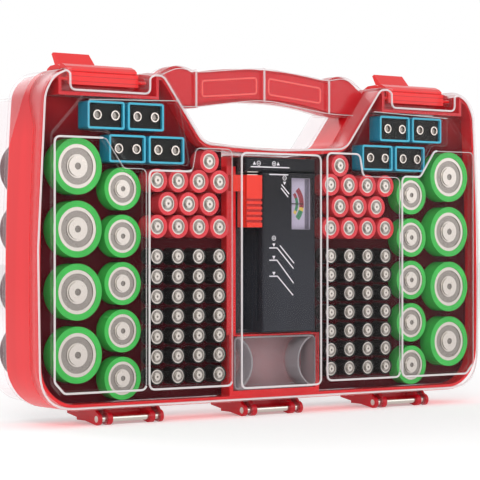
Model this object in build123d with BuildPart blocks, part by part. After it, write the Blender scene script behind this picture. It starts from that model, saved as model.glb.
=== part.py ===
from build123d import *
import os

# Two-sided battery storage case: a red tub that stands on its three hinge feet, a clear cover at the front
# and one at the back, a carrying handle over a dip in the top edge, a cell tester and a box for coin cells.
# Millimetres. X runs to the right, Y from the front to the back and Z up from the soles of the feet.
# "Depth" is counted backwards from the plane of the cell tops, "height" upwards from the tub's underside.

# Outline of the tub, seen from the front
HALF_WIDTH = 178.4  # at the widest height of the bowed sides
WIDEST_HEIGHT = 97.0
BOTTOM_DRAW_IN = 1.6
TOP_DRAW_IN = 5.4
TUB_HEIGHT = 206.0
BOTTOM_CORNER = 28.0
TOP_CORNER = 20.0
FOOT_HEIGHT = 10.0
CELL_TOP_Y = -29.7  # where the plane of the cell tops lies in the part's own frame

# Dip under the handle
DIP_TOP_HALF = 86.5
DIP_FLOOR_HALF = 56.0
DIP_FLOOR_HEIGHT = 162.2
DIP_FLOOR_RISE = 3.0
DIP_TOP_ROUND = 5.0
DIP_SEAM_HALF = 84.0  # where the band steps back from its full depth in the dip to its narrow top
DIP_FLOOR_ROUND = 12.0

# Handle bar
HANDLE_TOP = 214.5
HANDLE_TOP_SAG = 4.5
HANDLE_UNDER = 193.0
HANDLE_UNDER_SAG = 6.0
HANDLE_ARCH_HALF = 54.0
EAR_PEAK_HALF = 67.0
EAR_PEAK = 213.4
EAR_FOOT_HALF = 81.0
EAR_FOOT = 206.8
HANDLE_END_HALF = 89.0
HANDLE_END_HEIGHT = 203.0
HANDLE_UNDER_END_HALF = 77.0
HANDLE_UNDER_END = 185.6
HANDLE_CORE_GAP = 0.6
HANDLE_CORNER = 5.0
HANDLE_SHELL_FRONT = 13.6
HANDLE_SPLIT_FRONT = 19.5
HANDLE_SPLIT_BACK = 24.5
HANDLE_SHELL_BACK = 30.4
GRIP_PANEL_PITCH = 54.0
GRIP_RIB_WIDTH = 1.6
GRIP_RIB_HEIGHT = 0.8
HANDLE_EDGE_ROUND = 2.0

# Walls and fits
SKIN = 1.6  # clear covers
FIT = 0.3
WALL = 3.7  # tub wall with the lap of the cover
SEAM = 0.15  # half of the gap between a cover's edge and the band
RIM_FRONT = 1.5
RIM_BACK = 40.5
SHEET_FRONT = -0.5
SHEET_BACK = 42.4
COVER_EDGE_ROUND = 2.0

# Seam between the covers and the red band, seen from the side
SEAM_FRONT = 8.0
SEAM_FRONT_TOP = 15.5
SEAM_FRONT_LOW = 170.0
SEAM_FRONT_HIGH = 186.0
SEAM_BACK = 36.5
SEAM_BACK_TOP = 21.5
SEAM_BACK_LOW = 160.0
SEAM_BACK_HIGH = 192.0
SEAM_FRONT_ROUND = 9.0
SEAM_BACK_ROUND = 16.0

# Raised panels of the front cover and the bulge of the back cover
BASE_FRONT = -2.2
PANEL_FRONT = -4.5
TESTER_PANEL_FRONT = -5.9
PANEL_ROUND = 3.0
PANEL_EDGE_ROUND = 1.2
BULGE_INSET = 2.2
BULGE_HALF_WIDTH = 170.1
BULGE_TOP = 190.6
BULGE_BACK = 65.4
BULGE_EDGE_ROUND = 3.0
BULGE_CORNER = 3.0

# Cells: diameter, length, and where their columns and rows lie
D_DIAMETER, D_LENGTH = 34.2, 61.5
C_DIAMETER, C_LENGTH = 26.2, 50.0
AA_DIAMETER, AA_LENGTH = 14.5, 50.5
AAA_DIAMETER, AAA_LENGTH = 10.5, 44.5
NINE_VOLT_WIDTH, NINE_VOLT_HEIGHT, NINE_VOLT_LENGTH = 26.4, 17.0, 48.5
C_SET_BACK = 1.6  # the C cells reach lower than the raised panel, so they sit behind the flat sheet
D_COLUMN, D_TOP_ROW, D_PITCH, D_ROWS = 149.7, 147.1, 37.85, 4
C_COLUMN, C_TOP_ROW, C_PITCH, C_ROWS = 116.6, 134.1, 28.95, 5
AAA_COLUMN, AAA_COLUMN_PITCH, AAA_COLUMNS = 92.4, 15.7, 4
AAA_TOP_ROW, AAA_ROW_PITCH, AAA_ROWS = 92.7, 12.4, 7
AA_COLUMN, AA_HALF_PITCH = 92.15, 7.85
AA_UPPER_ROW, AA_ROW_PITCH, AA_SINGLE_ROW = 139.8, 14.27, 152.6
NINE_VOLT_COLUMN, NINE_VOLT_PITCH = 129.4, 28.8
NINE_VOLT_UPPER, NINE_VOLT_LOWER, NINE_VOLT_STEP = 178.6, 158.6, 15.3

# Tray
DECK_DEPTH = 11.0
DECK_THICKNESS = 1.5
CELL_CLEARANCE = 0.35
SLEEVE_WALL = 0.9
SMALL_SLEEVE_WALL = 0.7
WELL_FLOOR = 1.5
LEDGE_WIDTH = 2.5
LEDGE_THICKNESS = 1.8
LEDGE_FOOT = 36.0
LEDGE_INNER_FOOT = 170.0
LEDGE_SIDE_HALF = 150.0
TRAY_SPLIT_HALF = 36.3
DECK_TOP = 189.0
WELL_END_GAP = 0.2

# Hinges and feet
HINGE_PITCH = 109.3
HINGE_FRONT_LENGTH = 47.0
HINGE_DROP = 6.2
HINGE_SET_BACK = 1.5
HINGE_PIN_RADIUS = 2.0
PIN_RUNNING_FIT = 0.05
PIN_SEAT_FIT = 0.02
CHEEK_WIDTH = 2.2
KNUCKLE_WIDTH = 3.4
KNUCKLE_RADIUS = 3.8
LUG_WIDTH = 3.8
LUG_RADIUS = 3.6
LUG_GAP = 0.2
FOOT_WEB_FRONT = 15.0
FOOT_WEB_BACK = 29.5
FOOT_WEB_DROP = 8.0
FOOT_SHOULDER = 8.7
WEDGE_TAIL = 41.0
WEDGE_TAIL_DROP = 4.6
WEDGE_TAIL_TOP = 1.0
BACK_BARREL_START = -3.0
HINGE_STRIP_DROP = 2.0
HINGE_STRIP_SETBACK = 3.0

# Latches
LATCH_CENTRE = 126.3
LATCH_WIDTH = 50.0
LATCH_GAP = 2.7
NOTCH_FLOOR = 193.7
NOTCH_POCKET = 6.3
POCKET_WALL = 2.0
FRONT_POCKET_BACK = 14.4
BACK_POCKET_FRONT = 23.4
LATCH_PIVOT_HEIGHT = 200.0
FRONT_LATCH_PIVOT = 10.4
BACK_LATCH_PIVOT = 33.0
LATCH_PLATE = 2.4
LATCH_TOE = 196.9
LATCH_TRUNNION_RADIUS = 1.2
LATCH_TRUNNION_LENGTH = 6.8
LATCH_BOSS_RADIUS = 3.2
LATCH_BOSS_LENGTH = 5.6
BEAD_RISE = 0.5
BEAD_WIDTH = 0.7
FRONT_BEAD = 16.6
BACK_BEAD = 20.0
LIP_FOOT = 206.8
ARM_UNDER = 207.1
BACK_TAB_WIDTH = 26.0
BACK_TAB_OFFSET = 3.3

# Tester
TESTER_FRONT = -3.0
TESTER_SPLIT = 8.0
TESTER_BACK = 18.0
TESTER_LEFT = -13.5
TESTER_RIGHT = 29.5
TESTER_TRAY_LEFT = -27.0
TESTER_FOOT = 43.6
TESTER_TOP = 156.0
TESTER_WALL = 1.6
TESTER_CORNER = 1.5
JAW_HEIGHT = 9.0
METER_LEFT, METER_RIGHT = 9.7, 27.6
METER_FOOT, METER_TOP = 110.0, 143.4
METER_PIVOT_X, METER_PIVOT_HEIGHT = 6.5, 126.7
NEEDLE_LENGTH = 14.5
NEEDLE_WIDTH = 0.6
NEEDLE_THICKNESS = 0.4
NEEDLE_DEPTH = -0.6
DIAL_DEPTH = 0.6
LENS_THICKNESS = 0.9
LENS_SINK = 0.4
METER_EDGE = 0.5
SLIDER_LEFT, SLIDER_RIGHT = -26.0, -13.8
SLIDER_TOP, SLIDER_LENGTH = 144.6, 33.4
SLIDER_FRONT, SLIDER_BACK = -2.6, 7.6
SLIDER_ARM_LEFT, SLIDER_ARM_HEIGHT, SLIDER_ARM_BACK = -35.6, 10.4, 4.2
SLIDER_TRAVEL = 60.0
SLOT_FRONT, SLOT_HEIGHT = 2.0, 2.0

MOVEMENT_HALF = 6.0
MOVEMENT_BACK = 6.0
SPINDLE_RADIUS = 0.6
HUB_RADIUS = 1.6
DIAL_SEAT = 2.0
SLIDER_RIBS = 5
SLIDER_RIB_START = 3.0
SLIDER_RIB_PITCH = 3.4
SLIDER_GROOVE = 0.9
SLIDER_ARM_FRONT = 1.7
CONTACT_THICKNESS = 0.5
POST_FRONT = 5.0
POST_TOP = 150.0
POST_GAP = 2.0

# Cell ends; the shares are of the radius of the steel that shows inside the sleeve's shoulder
JACKET = 0.3
JACKET_END = 0.8
END_RECESS = 0.5
END_RIM = 0.84
END_DISC = 0.54
END_BUTTON = 0.46
END_DIMPLE = 0.16
NINE_VOLT_EDGE = 1.3
TERMINAL_HEIGHT = 0.3
TOP_SINK = 3.6
TOP_PLATE = 1.6
TERMINAL_PITCH = 12.8
TERMINAL_RADIUS = 3.0
TERMINAL_WALL = 0.7
TERMINAL_CUP = 1.4

# Coin cell box and its frame
COIN_FRAME_FRONT = 2.0
COIN_BOX_HALF = 33.0
COIN_BOX_TOP = 41.4
COIN_BOX_ROUND = 4.0
COIN_ARC_X = 36.0
COIN_ARC_RADIUS = 18.0
COIN_FRAME_TOP = 42.6
COIN_BOX_BACK = 17.0
COIN_BOX_FRONT = 1.6
COIN_BOX_WALL = 1.3
COIN_BOX_FOOT = 7.2


def front_plane(depth):
    """A sketch plane that faces the front, at a depth behind the cell tops; its y is height."""
    return Plane(origin=(0, CELL_TOP_Y + depth, FOOT_HEIGHT), x_dir=(1, 0, 0), z_dir=(0, -1, 0))


def side_plane(x):
    """A sketch plane whose own x is depth and y is height, at a distance to the right of the middle."""
    return Plane(origin=(x, CELL_TOP_Y, FOOT_HEIGHT), x_dir=(0, 1, 0), z_dir=(1, 0, 0))


def tub_outline(inset=0.0):
    """The tub seen from the front, with the dip under the handle, drawn in all round by the inset."""
    with BuildSketch(mode=Mode.PRIVATE) as outline:
        with BuildLine():
            bottom = (HALF_WIDTH - BOTTOM_DRAW_IN, 0)
            top = (HALF_WIDTH - TOP_DRAW_IN, TUB_HEIGHT)
            dip_top = (DIP_TOP_HALF, TUB_HEIGHT)
            dip_floor = (DIP_FLOOR_HALF, DIP_FLOOR_HEIGHT + DIP_FLOOR_RISE)
            Line((0, 0), bottom)
            ThreePointArc(bottom, (HALF_WIDTH, WIDEST_HEIGHT), top)
            Line(top, dip_top)
            Line(dip_top, dip_floor)
            mirror(about=Plane.YZ)
            ThreePointArc((-dip_floor[0], dip_floor[1]), (0, DIP_FLOOR_HEIGHT), dip_floor)
        make_face()
        corners = outline.vertices().filter_by(lambda v: abs(v.X) > 1)
        fillet(corners.filter_by(lambda v: v.Y < 1), BOTTOM_CORNER)
        corners = outline.vertices().filter_by(lambda v: v.Y > TUB_HEIGHT - 1)
        fillet(corners.filter_by(lambda v: abs(v.X) > DIP_TOP_HALF + 1), TOP_CORNER)
        corners = outline.vertices().filter_by(lambda v: abs(abs(v.X) - DIP_TOP_HALF) < 0.5)
        fillet(corners.filter_by(lambda v: v.Y > TUB_HEIGHT - 1), DIP_TOP_ROUND)
        corners = outline.vertices().filter_by(lambda v: abs(abs(v.X) - DIP_FLOOR_HALF) < 0.5)
        fillet(corners.filter_by(lambda v: v.Y > DIP_FLOOR_HEIGHT), DIP_FLOOR_ROUND)
        if inset:
            offset(amount=-inset, mode=Mode.REPLACE)
    return outline.sketch


def handle_outline(inset=0.0):
    """The handle bar seen from the front, from inside one end of the tub's dip to inside the other."""
    with BuildSketch(mode=Mode.PRIVATE) as outline:
        with BuildLine():
            crown = (HANDLE_ARCH_HALF, HANDLE_TOP - HANDLE_TOP_SAG)
            ear_foot = (EAR_FOOT_HALF, EAR_FOOT)
            end = (HANDLE_END_HALF, HANDLE_END_HEIGHT)
            under = (HANDLE_ARCH_HALF, HANDLE_UNDER - HANDLE_UNDER_SAG)
            under_end = (HANDLE_UNDER_END_HALF, HANDLE_UNDER_END)
            ThreePointArc(crown, (EAR_PEAK_HALF, EAR_PEAK), ear_foot)
            Line(ear_foot, end)
            Line(end, under_end)
            Line(under_end, under)
            mirror(about=Plane.YZ)
            ThreePointArc((-crown[0], crown[1]), (0, HANDLE_TOP), crown)
            ThreePointArc((-under[0], under[1]), (0, HANDLE_UNDER), under)
        make_face()
        corners = outline.vertices().filter_by(lambda v: abs(abs(v.X) - HANDLE_ARCH_HALF) < 0.5)
        fillet(corners, HANDLE_CORNER)
        if inset:
            offset(amount=-inset, mode=Mode.REPLACE)
    return outline.sketch


def slab(profile, front, back, mode=Mode.ADD):
    """Extrudes a front view from one depth to another in the part that is being built."""
    with BuildSketch(front_plane(front)) as view:
        add(profile)
    extrude(view.sketch, amount=back - front, dir=(0, 1, 0), mode=mode)


def block(left, right, front, back, foot, top, mode=Mode.ADD):
    """A straight block between two distances to the right, two depths and two heights."""
    with BuildSketch(front_plane(front)) as view:
        with Locations(((left + right) / 2, (foot + top) / 2)):
            Rectangle(abs(right - left), top - foot)
    extrude(view.sketch, amount=back - front, dir=(0, 1, 0), mode=mode)


def side_slab(profile, left, right, mode=Mode.ADD):
    """Extrudes a side view from one distance to the right to another in the part that is being built."""
    with BuildSketch(side_plane(left)) as view:
        add(profile)
    extrude(view.sketch, amount=right - left, dir=(1, 0, 0), mode=mode)


def export(builder, name):
    """Labels a finished piece and writes it to its own file."""
    builder.part.label = name
    export_step(builder.part, f"parts/{name}.step")


os.makedirs("parts", exist_ok=True)
SIDES = {"left": -1, "right": 1}
FAR = 300.0  # longer than the case in any direction, for cuts that go right through

OUTLINE = tub_outline()
LAP_OUTLINE = tub_outline(SKIN + FIT)
SKIN_OUTLINE = tub_outline(SKIN)
INNER_OUTLINE = tub_outline(WALL)
DECK_OUTLINE = tub_outline(WALL + FIT)
LEDGE_OUTLINE = tub_outline(WALL + LEDGE_WIDTH)
HANDLE_OUTLINE = handle_outline()
HANDLE_SKIN_OUTLINE = handle_outline(SKIN)


def band_region(gap):
    """The space between the two covers' seams, narrowed (or widened, if negative) by the gap on each side."""
    with BuildSketch(mode=Mode.PRIVATE) as profile:
        with BuildLine():
            Polyline(
                (SEAM_FRONT + gap, -FAR),
                (SEAM_FRONT + gap, SEAM_FRONT_LOW),
                (SEAM_FRONT_TOP + gap, SEAM_FRONT_HIGH),
                (SEAM_FRONT_TOP + gap, FAR),
                (SEAM_BACK_TOP - gap, FAR),
                (SEAM_BACK_TOP - gap, SEAM_BACK_HIGH),
                (SEAM_BACK - gap, SEAM_BACK_LOW),
                (SEAM_BACK - gap, -FAR),
                close=True,
            )
        make_face()
        bends = profile.vertices().filter_by(lambda v: abs(v.Y) < FAR - 1)
        fillet(bends.filter_by(lambda v: v.X < SEAM_FRONT_TOP + 3), SEAM_FRONT_ROUND)
        bends = profile.vertices().filter_by(lambda v: v.X > SEAM_BACK_TOP - 3)
        fillet(bends.filter_by(lambda v: abs(v.Y) < FAR - 1), SEAM_BACK_ROUND)
    with BuildPart(mode=Mode.PRIVATE) as band:
        side_slab(profile.sketch, -FAR, FAR)
        dip = (gap - DIP_SEAM_HALF, DIP_SEAM_HALF - gap)
        block(*dip, -FAR, SEAM_FRONT_TOP + gap, DIP_FLOOR_HEIGHT / 2, FAR, mode=Mode.SUBTRACT)
        block(*dip, SEAM_FRONT_TOP + gap, SEAM_BACK - gap, DIP_FLOOR_HEIGHT / 2, FAR)
    return band.part


BAND = band_region(SEAM)
BAND_CUT = band_region(-SEAM)


def mirrored(points):
    """The same points on the left of the middle."""
    return [(-x, z) for x, z in points]


def on_side(side, points):
    """Points given for the right side, taken to the side asked for."""
    return points if side > 0 else mirrored(points)


# Where every cell stands on the right side; the left side is its mirror image
D_POSTS = [(D_COLUMN, D_TOP_ROW - D_PITCH * row) for row in range(D_ROWS)]
C_POSTS = [(C_COLUMN, C_TOP_ROW - C_PITCH * row) for row in range(C_ROWS)]
AAA_POSTS = [
    (AAA_COLUMN - AAA_COLUMN_PITCH * column, AAA_TOP_ROW - AAA_ROW_PITCH * row)
    for column in range(AAA_COLUMNS)
    for row in range(AAA_ROWS)
]
AA_POSTS = [(AA_COLUMN - AA_HALF_PITCH * 5, AA_SINGLE_ROW)]
AA_POSTS += [(AA_COLUMN - AA_HALF_PITCH * step, AA_UPPER_ROW) for step in range(0, 7, 2)]
AA_POSTS += [(AA_COLUMN - AA_HALF_PITCH * step, AA_UPPER_ROW - AA_ROW_PITCH) for step in range(1, 6, 2)]
AA_POSTS += [(AA_COLUMN - AA_HALF_PITCH * step, AA_UPPER_ROW - AA_ROW_PITCH * 2) for step in range(0, 7, 2)]
NINE_VOLT_POSTS = [
    (NINE_VOLT_COLUMN - NINE_VOLT_PITCH * column - drop * NINE_VOLT_STEP, height)
    for drop, height in enumerate((NINE_VOLT_UPPER, NINE_VOLT_LOWER))
    for column in range(2)
]


def both_sides(posts):
    """The posts of both sides together."""
    return posts + mirrored(posts)


def round_posts(posts, radius, front, back, mode=Mode.ADD):
    """One round bar at each post, between two depths."""
    with BuildSketch(front_plane(front)) as view:
        with Locations(*posts):
            Circle(radius)
    extrude(view.sketch, amount=back - front, dir=(0, 1, 0), mode=mode)


def square_posts(posts, width, height, corner, front, back, mode=Mode.ADD):
    """One bar of rounded rectangular section at each post, between two depths."""
    with BuildSketch(front_plane(front)) as view:
        with Locations(*posts):
            RectangleRounded(width, height, corner)
    extrude(view.sketch, amount=back - front, dir=(0, 1, 0), mode=mode)


def rod(x_from, x_to, depth, height, radius, mode=Mode.ADD):
    """A round bar along X between two distances to the right."""
    with BuildSketch(side_plane(x_from)) as view:
        with Locations((depth, height)):
            Circle(radius)
    extrude(view.sketch, amount=x_to - x_from, dir=(1, 0, 0), mode=mode)


def side_polygon(points, *circles):
    """A side view made of a polygon and of circles given by depth, height and radius."""
    with BuildSketch(mode=Mode.PRIVATE) as view:
        with BuildLine():
            Polyline(*points, close=True)
        make_face()
        for depth, height, radius in circles:
            with Locations((depth, height)):
                Circle(radius)
    return view.sketch


# ---------------------------------------------------------------- tub
FRONT_PIN = (SEAM_FRONT - HINGE_SET_BACK, -HINGE_DROP)
BACK_PIN = (SEAM_BACK + HINGE_SET_BACK, -HINGE_DROP)
POCKET_HALF = LATCH_WIDTH / 2 + LATCH_GAP + NOTCH_POCKET
SHELF_TOP = NOTCH_FLOOR - SKIN - FIT
HANDLE_CORE = handle_outline(SKIN + HANDLE_CORE_GAP)


def between_seams(profile):
    """The part of a front view that lies between the two steps of the seam at the ends of the dip."""
    with BuildSketch(mode=Mode.PRIVATE) as middle:
        add(profile)
        with Locations((0, FAR / 2)):
            Rectangle((DIP_SEAM_HALF - FIT) * 2, FAR, mode=Mode.INTERSECT)
    return middle.sketch


def latch_pockets(rim, wall, band):
    """The two pockets in the tub's top edge that take the covers' latch recesses on one face of the tub."""
    inward = 1 if band > rim else -1
    with BuildPart(mode=Mode.PRIVATE) as pockets:
        for side in SIDES.values():
            centre = side * LATCH_CENTRE
            outer = (centre - POCKET_HALF - POCKET_WALL, centre + POCKET_HALF + POCKET_WALL)
            block(*outer, *sorted((rim, wall + inward * POCKET_WALL)), SHELF_TOP - POCKET_WALL, TUB_HEIGHT)
        slab(LAP_OUTLINE, -FAR, FAR, mode=Mode.INTERSECT)
        for side in SIDES.values():
            centre = side * LATCH_CENTRE
            flush = LATCH_WIDTH / 2 + LATCH_GAP - FIT
            block(centre - flush, centre + flush, *sorted((wall, band)), SHELF_TOP - POCKET_WALL, TUB_HEIGHT)
        slab(OUTLINE, -FAR, FAR, mode=Mode.INTERSECT)
    return pockets.part


with BuildPart() as case_frame:
    slab(OUTLINE, RIM_FRONT, RIM_BACK)
    add(BAND, mode=Mode.INTERSECT)
    slab(LAP_OUTLINE, RIM_FRONT, RIM_BACK)
    slab(between_seams(HANDLE_CORE), HANDLE_SHELL_FRONT + SKIN + FIT, HANDLE_SHELL_BACK - SKIN - FIT)
    slab(between_seams(HANDLE_OUTLINE), HANDLE_SPLIT_FRONT, HANDLE_SPLIT_BACK)
    slab(INNER_OUTLINE, -FAR, FAR, mode=Mode.SUBTRACT)
    add(latch_pockets(RIM_FRONT, FRONT_POCKET_BACK, SEAM_FRONT_TOP + 1))
    add(latch_pockets(RIM_BACK, BACK_POCKET_FRONT, SEAM_BACK_TOP - 1))
    for side in SIDES.values():
        recess = (side * LATCH_CENTRE - POCKET_HALF, side * LATCH_CENTRE + POCKET_HALF)
        block(*recess, -FAR, FRONT_POCKET_BACK, SHELF_TOP, FAR, mode=Mode.SUBTRACT)
        block(*recess, BACK_POCKET_FRONT, FAR, SHELF_TOP, FAR, mode=Mode.SUBTRACT)
        half = LATCH_WIDTH / 2
        bead = (side * LATCH_CENTRE - half, side * LATCH_CENTRE + half)
        block(*bead, FRONT_BEAD, FRONT_BEAD + BEAD_WIDTH, TUB_HEIGHT - 1, TUB_HEIGHT + BEAD_RISE)
        block(*bead, BACK_BEAD, BACK_BEAD + BEAD_WIDTH, TUB_HEIGHT - 1, TUB_HEIGHT + BEAD_RISE)
    with BuildSketch(front_plane(DECK_DEPTH + DECK_THICKNESS)) as ledge:
        add(tub_outline(WALL - 0.5))
        add(LEDGE_OUTLINE, mode=Mode.SUBTRACT)
        with Locations((0, FAR / 2)):
            Rectangle(TRAY_SPLIT_HALF * 2, FAR * 2, mode=Mode.SUBTRACT)
        with Locations((0, SHELF_TOP - POCKET_WALL + FAR / 2), (0, LEDGE_FOOT - FAR / 2)):
            Rectangle(FAR * 2, FAR, mode=Mode.SUBTRACT)
        with Locations((0, LEDGE_INNER_FOOT - FAR / 2)):
            Rectangle(LEDGE_SIDE_HALF * 2, FAR, mode=Mode.SUBTRACT)
    extrude(ledge.sketch, amount=LEDGE_THICKNESS, dir=(0, 1, 0))
export(case_frame, "case_frame")

# ---------------------------------------------------------------- feet with the hinge knuckles
HINGE_HALF = HINGE_FRONT_LENGTH / 2
CHEEK_INNER = HINGE_HALF - CHEEK_WIDTH
LUG_OUTER = CHEEK_INNER - LUG_GAP
LUG_INNER = LUG_OUTER - LUG_WIDTH
KNUCKLE_OUTER = LUG_INNER - LUG_GAP
KNUCKLE_INNER = KNUCKLE_OUTER - KNUCKLE_WIDTH
BACK_LUG_FROM = BACK_BARREL_START + KNUCKLE_WIDTH + LUG_GAP
BARREL_FOOT = -HINGE_DROP - KNUCKLE_RADIUS
HINGE_HOLE = HINGE_PIN_RADIUS + PIN_SEAT_FIT
FOOT_BACK_SHOULDER = SEAM_FRONT + SEAM_BACK - FOOT_SHOULDER

front_plate = side_polygon(
    [
        (FRONT_PIN[0], BARREL_FOOT),
        (FOOT_WEB_FRONT + 1, -FOOT_WEB_DROP),
        (FOOT_WEB_FRONT + 1, 0),
        (FOOT_SHOULDER, 0),
        (FRONT_PIN[0], BARREL_FOOT + KNUCKLE_RADIUS * 2),
    ],
    (*FRONT_PIN, KNUCKLE_RADIUS),
)
back_plate = side_polygon(
    [
        (BACK_PIN[0], BARREL_FOOT),
        (FOOT_WEB_BACK - 1, -FOOT_WEB_DROP),
        (FOOT_WEB_BACK - 1, 0),
        (FOOT_BACK_SHOULDER, 0),
        (BACK_PIN[0], BARREL_FOOT + KNUCKLE_RADIUS * 2),
    ],
    (*BACK_PIN, KNUCKLE_RADIUS),
)
wedge_plate = side_polygon(
    [
        (FRONT_PIN[0], BARREL_FOOT),
        (WEDGE_TAIL, -WEDGE_TAIL_DROP),
        (WEDGE_TAIL, -WEDGE_TAIL_TOP),
        (FOOT_BACK_SHOULDER, 0),
        (FOOT_SHOULDER, 0),
        (FRONT_PIN[0], BARREL_FOOT + KNUCKLE_RADIUS * 2),
    ],
    (*FRONT_PIN, KNUCKLE_RADIUS),
)

FEET = {"left": -HINGE_PITCH, "middle": 0.0, "right": HINGE_PITCH}
for name, centre in FEET.items():
    with BuildPart() as foot:
        block(centre - HINGE_HALF, centre + HINGE_HALF, FOOT_WEB_FRONT, FOOT_WEB_BACK, -FOOT_WEB_DROP, 0)
        side_slab(wedge_plate, centre - HINGE_HALF, centre - CHEEK_INNER)
        side_slab(front_plate, centre - KNUCKLE_OUTER, centre - KNUCKLE_INNER)
        side_slab(front_plate, centre + KNUCKLE_INNER, centre + KNUCKLE_OUTER)
        side_slab(front_plate, centre + CHEEK_INNER, centre + HINGE_HALF)
        side_slab(back_plate, centre + CHEEK_INNER, centre + HINGE_HALF)
        side_slab(back_plate, centre + BACK_BARREL_START, centre + BACK_BARREL_START + KNUCKLE_WIDTH)
        rod(centre - HINGE_HALF - 1, centre + HINGE_HALF + 1, *FRONT_PIN, HINGE_HOLE, mode=Mode.SUBTRACT)
        back_hole = (centre + BACK_BARREL_START - 1, centre + HINGE_HALF + 1)
        rod(*back_hole, *BACK_PIN, HINGE_HOLE, mode=Mode.SUBTRACT)
    export(foot, f"hinge_foot_{name}")

with BuildPart() as front_hinge_pins:
    for centre in FEET.values():
        rod(centre - HINGE_HALF, centre + HINGE_HALF, *FRONT_PIN, HINGE_PIN_RADIUS)
export(front_hinge_pins, "front_hinge_pins")

with BuildPart() as back_hinge_pins:
    for centre in FEET.values():
        rod(centre + BACK_BARREL_START, centre + HINGE_HALF, *BACK_PIN, HINGE_PIN_RADIUS)
export(back_hinge_pins, "back_hinge_pins")

# ---------------------------------------------------------------- trays with the wells for the cells
for name, side in SIDES.items():
    wells = (
        (on_side(side, D_POSTS), D_DIAMETER / 2 + CELL_CLEARANCE, SLEEVE_WALL, D_LENGTH),
        (on_side(side, C_POSTS), C_DIAMETER / 2 + CELL_CLEARANCE, SMALL_SLEEVE_WALL, C_LENGTH + C_SET_BACK),
        (on_side(side, AA_POSTS[:1]), AA_DIAMETER / 2 + CELL_CLEARANCE, SMALL_SLEEVE_WALL, AA_LENGTH),
    )
    grids = (
        (on_side(side, AAA_POSTS), AAA_DIAMETER / 2 + CELL_CLEARANCE, AAA_LENGTH),
        (on_side(side, AA_POSTS[1:]), AA_DIAMETER / 2 + CELL_CLEARANCE, AA_LENGTH),
    )
    square = on_side(side, NINE_VOLT_POSTS)
    with BuildPart() as tray:
        with BuildSketch(front_plane(DECK_DEPTH)) as deck:
            add(DECK_OUTLINE)
            with Locations((side * (TRAY_SPLIT_HALF + FAR / 2), DECK_TOP - FAR / 2)):
                Rectangle(FAR, FAR, mode=Mode.INTERSECT)
        extrude(deck.sketch, amount=DECK_THICKNESS, dir=(0, 1, 0))
        for posts, radius, wall, length in wells:
            round_posts(posts, radius + wall, DECK_DEPTH, length + WELL_END_GAP + WELL_FLOOR)
        for posts, radius, length in grids:
            edge = radius + SMALL_SLEEVE_WALL
            low = min(x for x, z in posts) - edge
            high = max(x for x, z in posts) + edge
            foot = min(z for x, z in posts) - edge
            top = max(z for x, z in posts) + edge
            block(low, high, DECK_DEPTH, length + WELL_END_GAP + WELL_FLOOR, foot, top)
        grow = (CELL_CLEARANCE + SMALL_SLEEVE_WALL) * 2
        well_back = NINE_VOLT_LENGTH + WELL_END_GAP + WELL_FLOOR
        square_posts(square, NINE_VOLT_WIDTH + grow, NINE_VOLT_HEIGHT + grow, 2.5, DECK_DEPTH, well_back)
        slab(DECK_OUTLINE, -1, FAR, mode=Mode.INTERSECT)
        for posts, radius, wall, length in wells:
            round_posts(posts, radius, -1, length + WELL_END_GAP, mode=Mode.SUBTRACT)
        for posts, radius, length in grids:
            round_posts(posts, radius, -1, length + WELL_END_GAP, mode=Mode.SUBTRACT)
        grow = CELL_CLEARANCE * 2
        well_back = NINE_VOLT_LENGTH + WELL_END_GAP
        width = NINE_VOLT_WIDTH + grow
        height = NINE_VOLT_HEIGHT + grow
        square_posts(square, width, height, 1.5, -1, well_back, mode=Mode.SUBTRACT)
    export(tray, f"tray_{name}")

with BuildPart() as tester_tray:
    split = TRAY_SPLIT_HALF
    pocket_left = TESTER_TRAY_LEFT - FIT
    pocket_right = TESTER_RIGHT + FIT
    pocket_foot = TESTER_FOOT - FIT
    pocket_top = TESTER_TOP + FIT
    block(-split, split, DECK_DEPTH, DECK_DEPTH + DECK_THICKNESS, WALL, pocket_top)
    block(-split, split, COIN_FRAME_FRONT, DECK_DEPTH, WALL, COIN_FRAME_TOP)
    block(-split, pocket_left - POST_GAP, POST_FRONT, DECK_DEPTH, COIN_FRAME_TOP, POST_TOP)
    walls = (pocket_left - POCKET_WALL, pocket_right + POCKET_WALL)
    pocket_back = TESTER_BACK + FIT
    wall_foot = COIN_BOX_FOOT - POCKET_WALL
    wall_top = pocket_top + POCKET_WALL / 2
    block(*walls, DECK_DEPTH, pocket_back + WELL_FLOOR, wall_foot, wall_top)
    block(pocket_left, pocket_right, -1, pocket_back, pocket_foot, pocket_top, mode=Mode.SUBTRACT)
    coin_left = -COIN_BOX_HALF - FIT
    coin_back = COIN_BOX_BACK + FIT
    coin_walls = (coin_left - COIN_BOX_WALL, -coin_left + COIN_BOX_WALL)
    block(*coin_walls, DECK_DEPTH, coin_back + WELL_FLOOR, WALL, pocket_foot - 1)
    block(coin_left, -coin_left, -1, coin_back, COIN_BOX_FOOT - FIT, COIN_BOX_TOP + FIT, mode=Mode.SUBTRACT)
export(tester_tray, "tester_tray")

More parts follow.
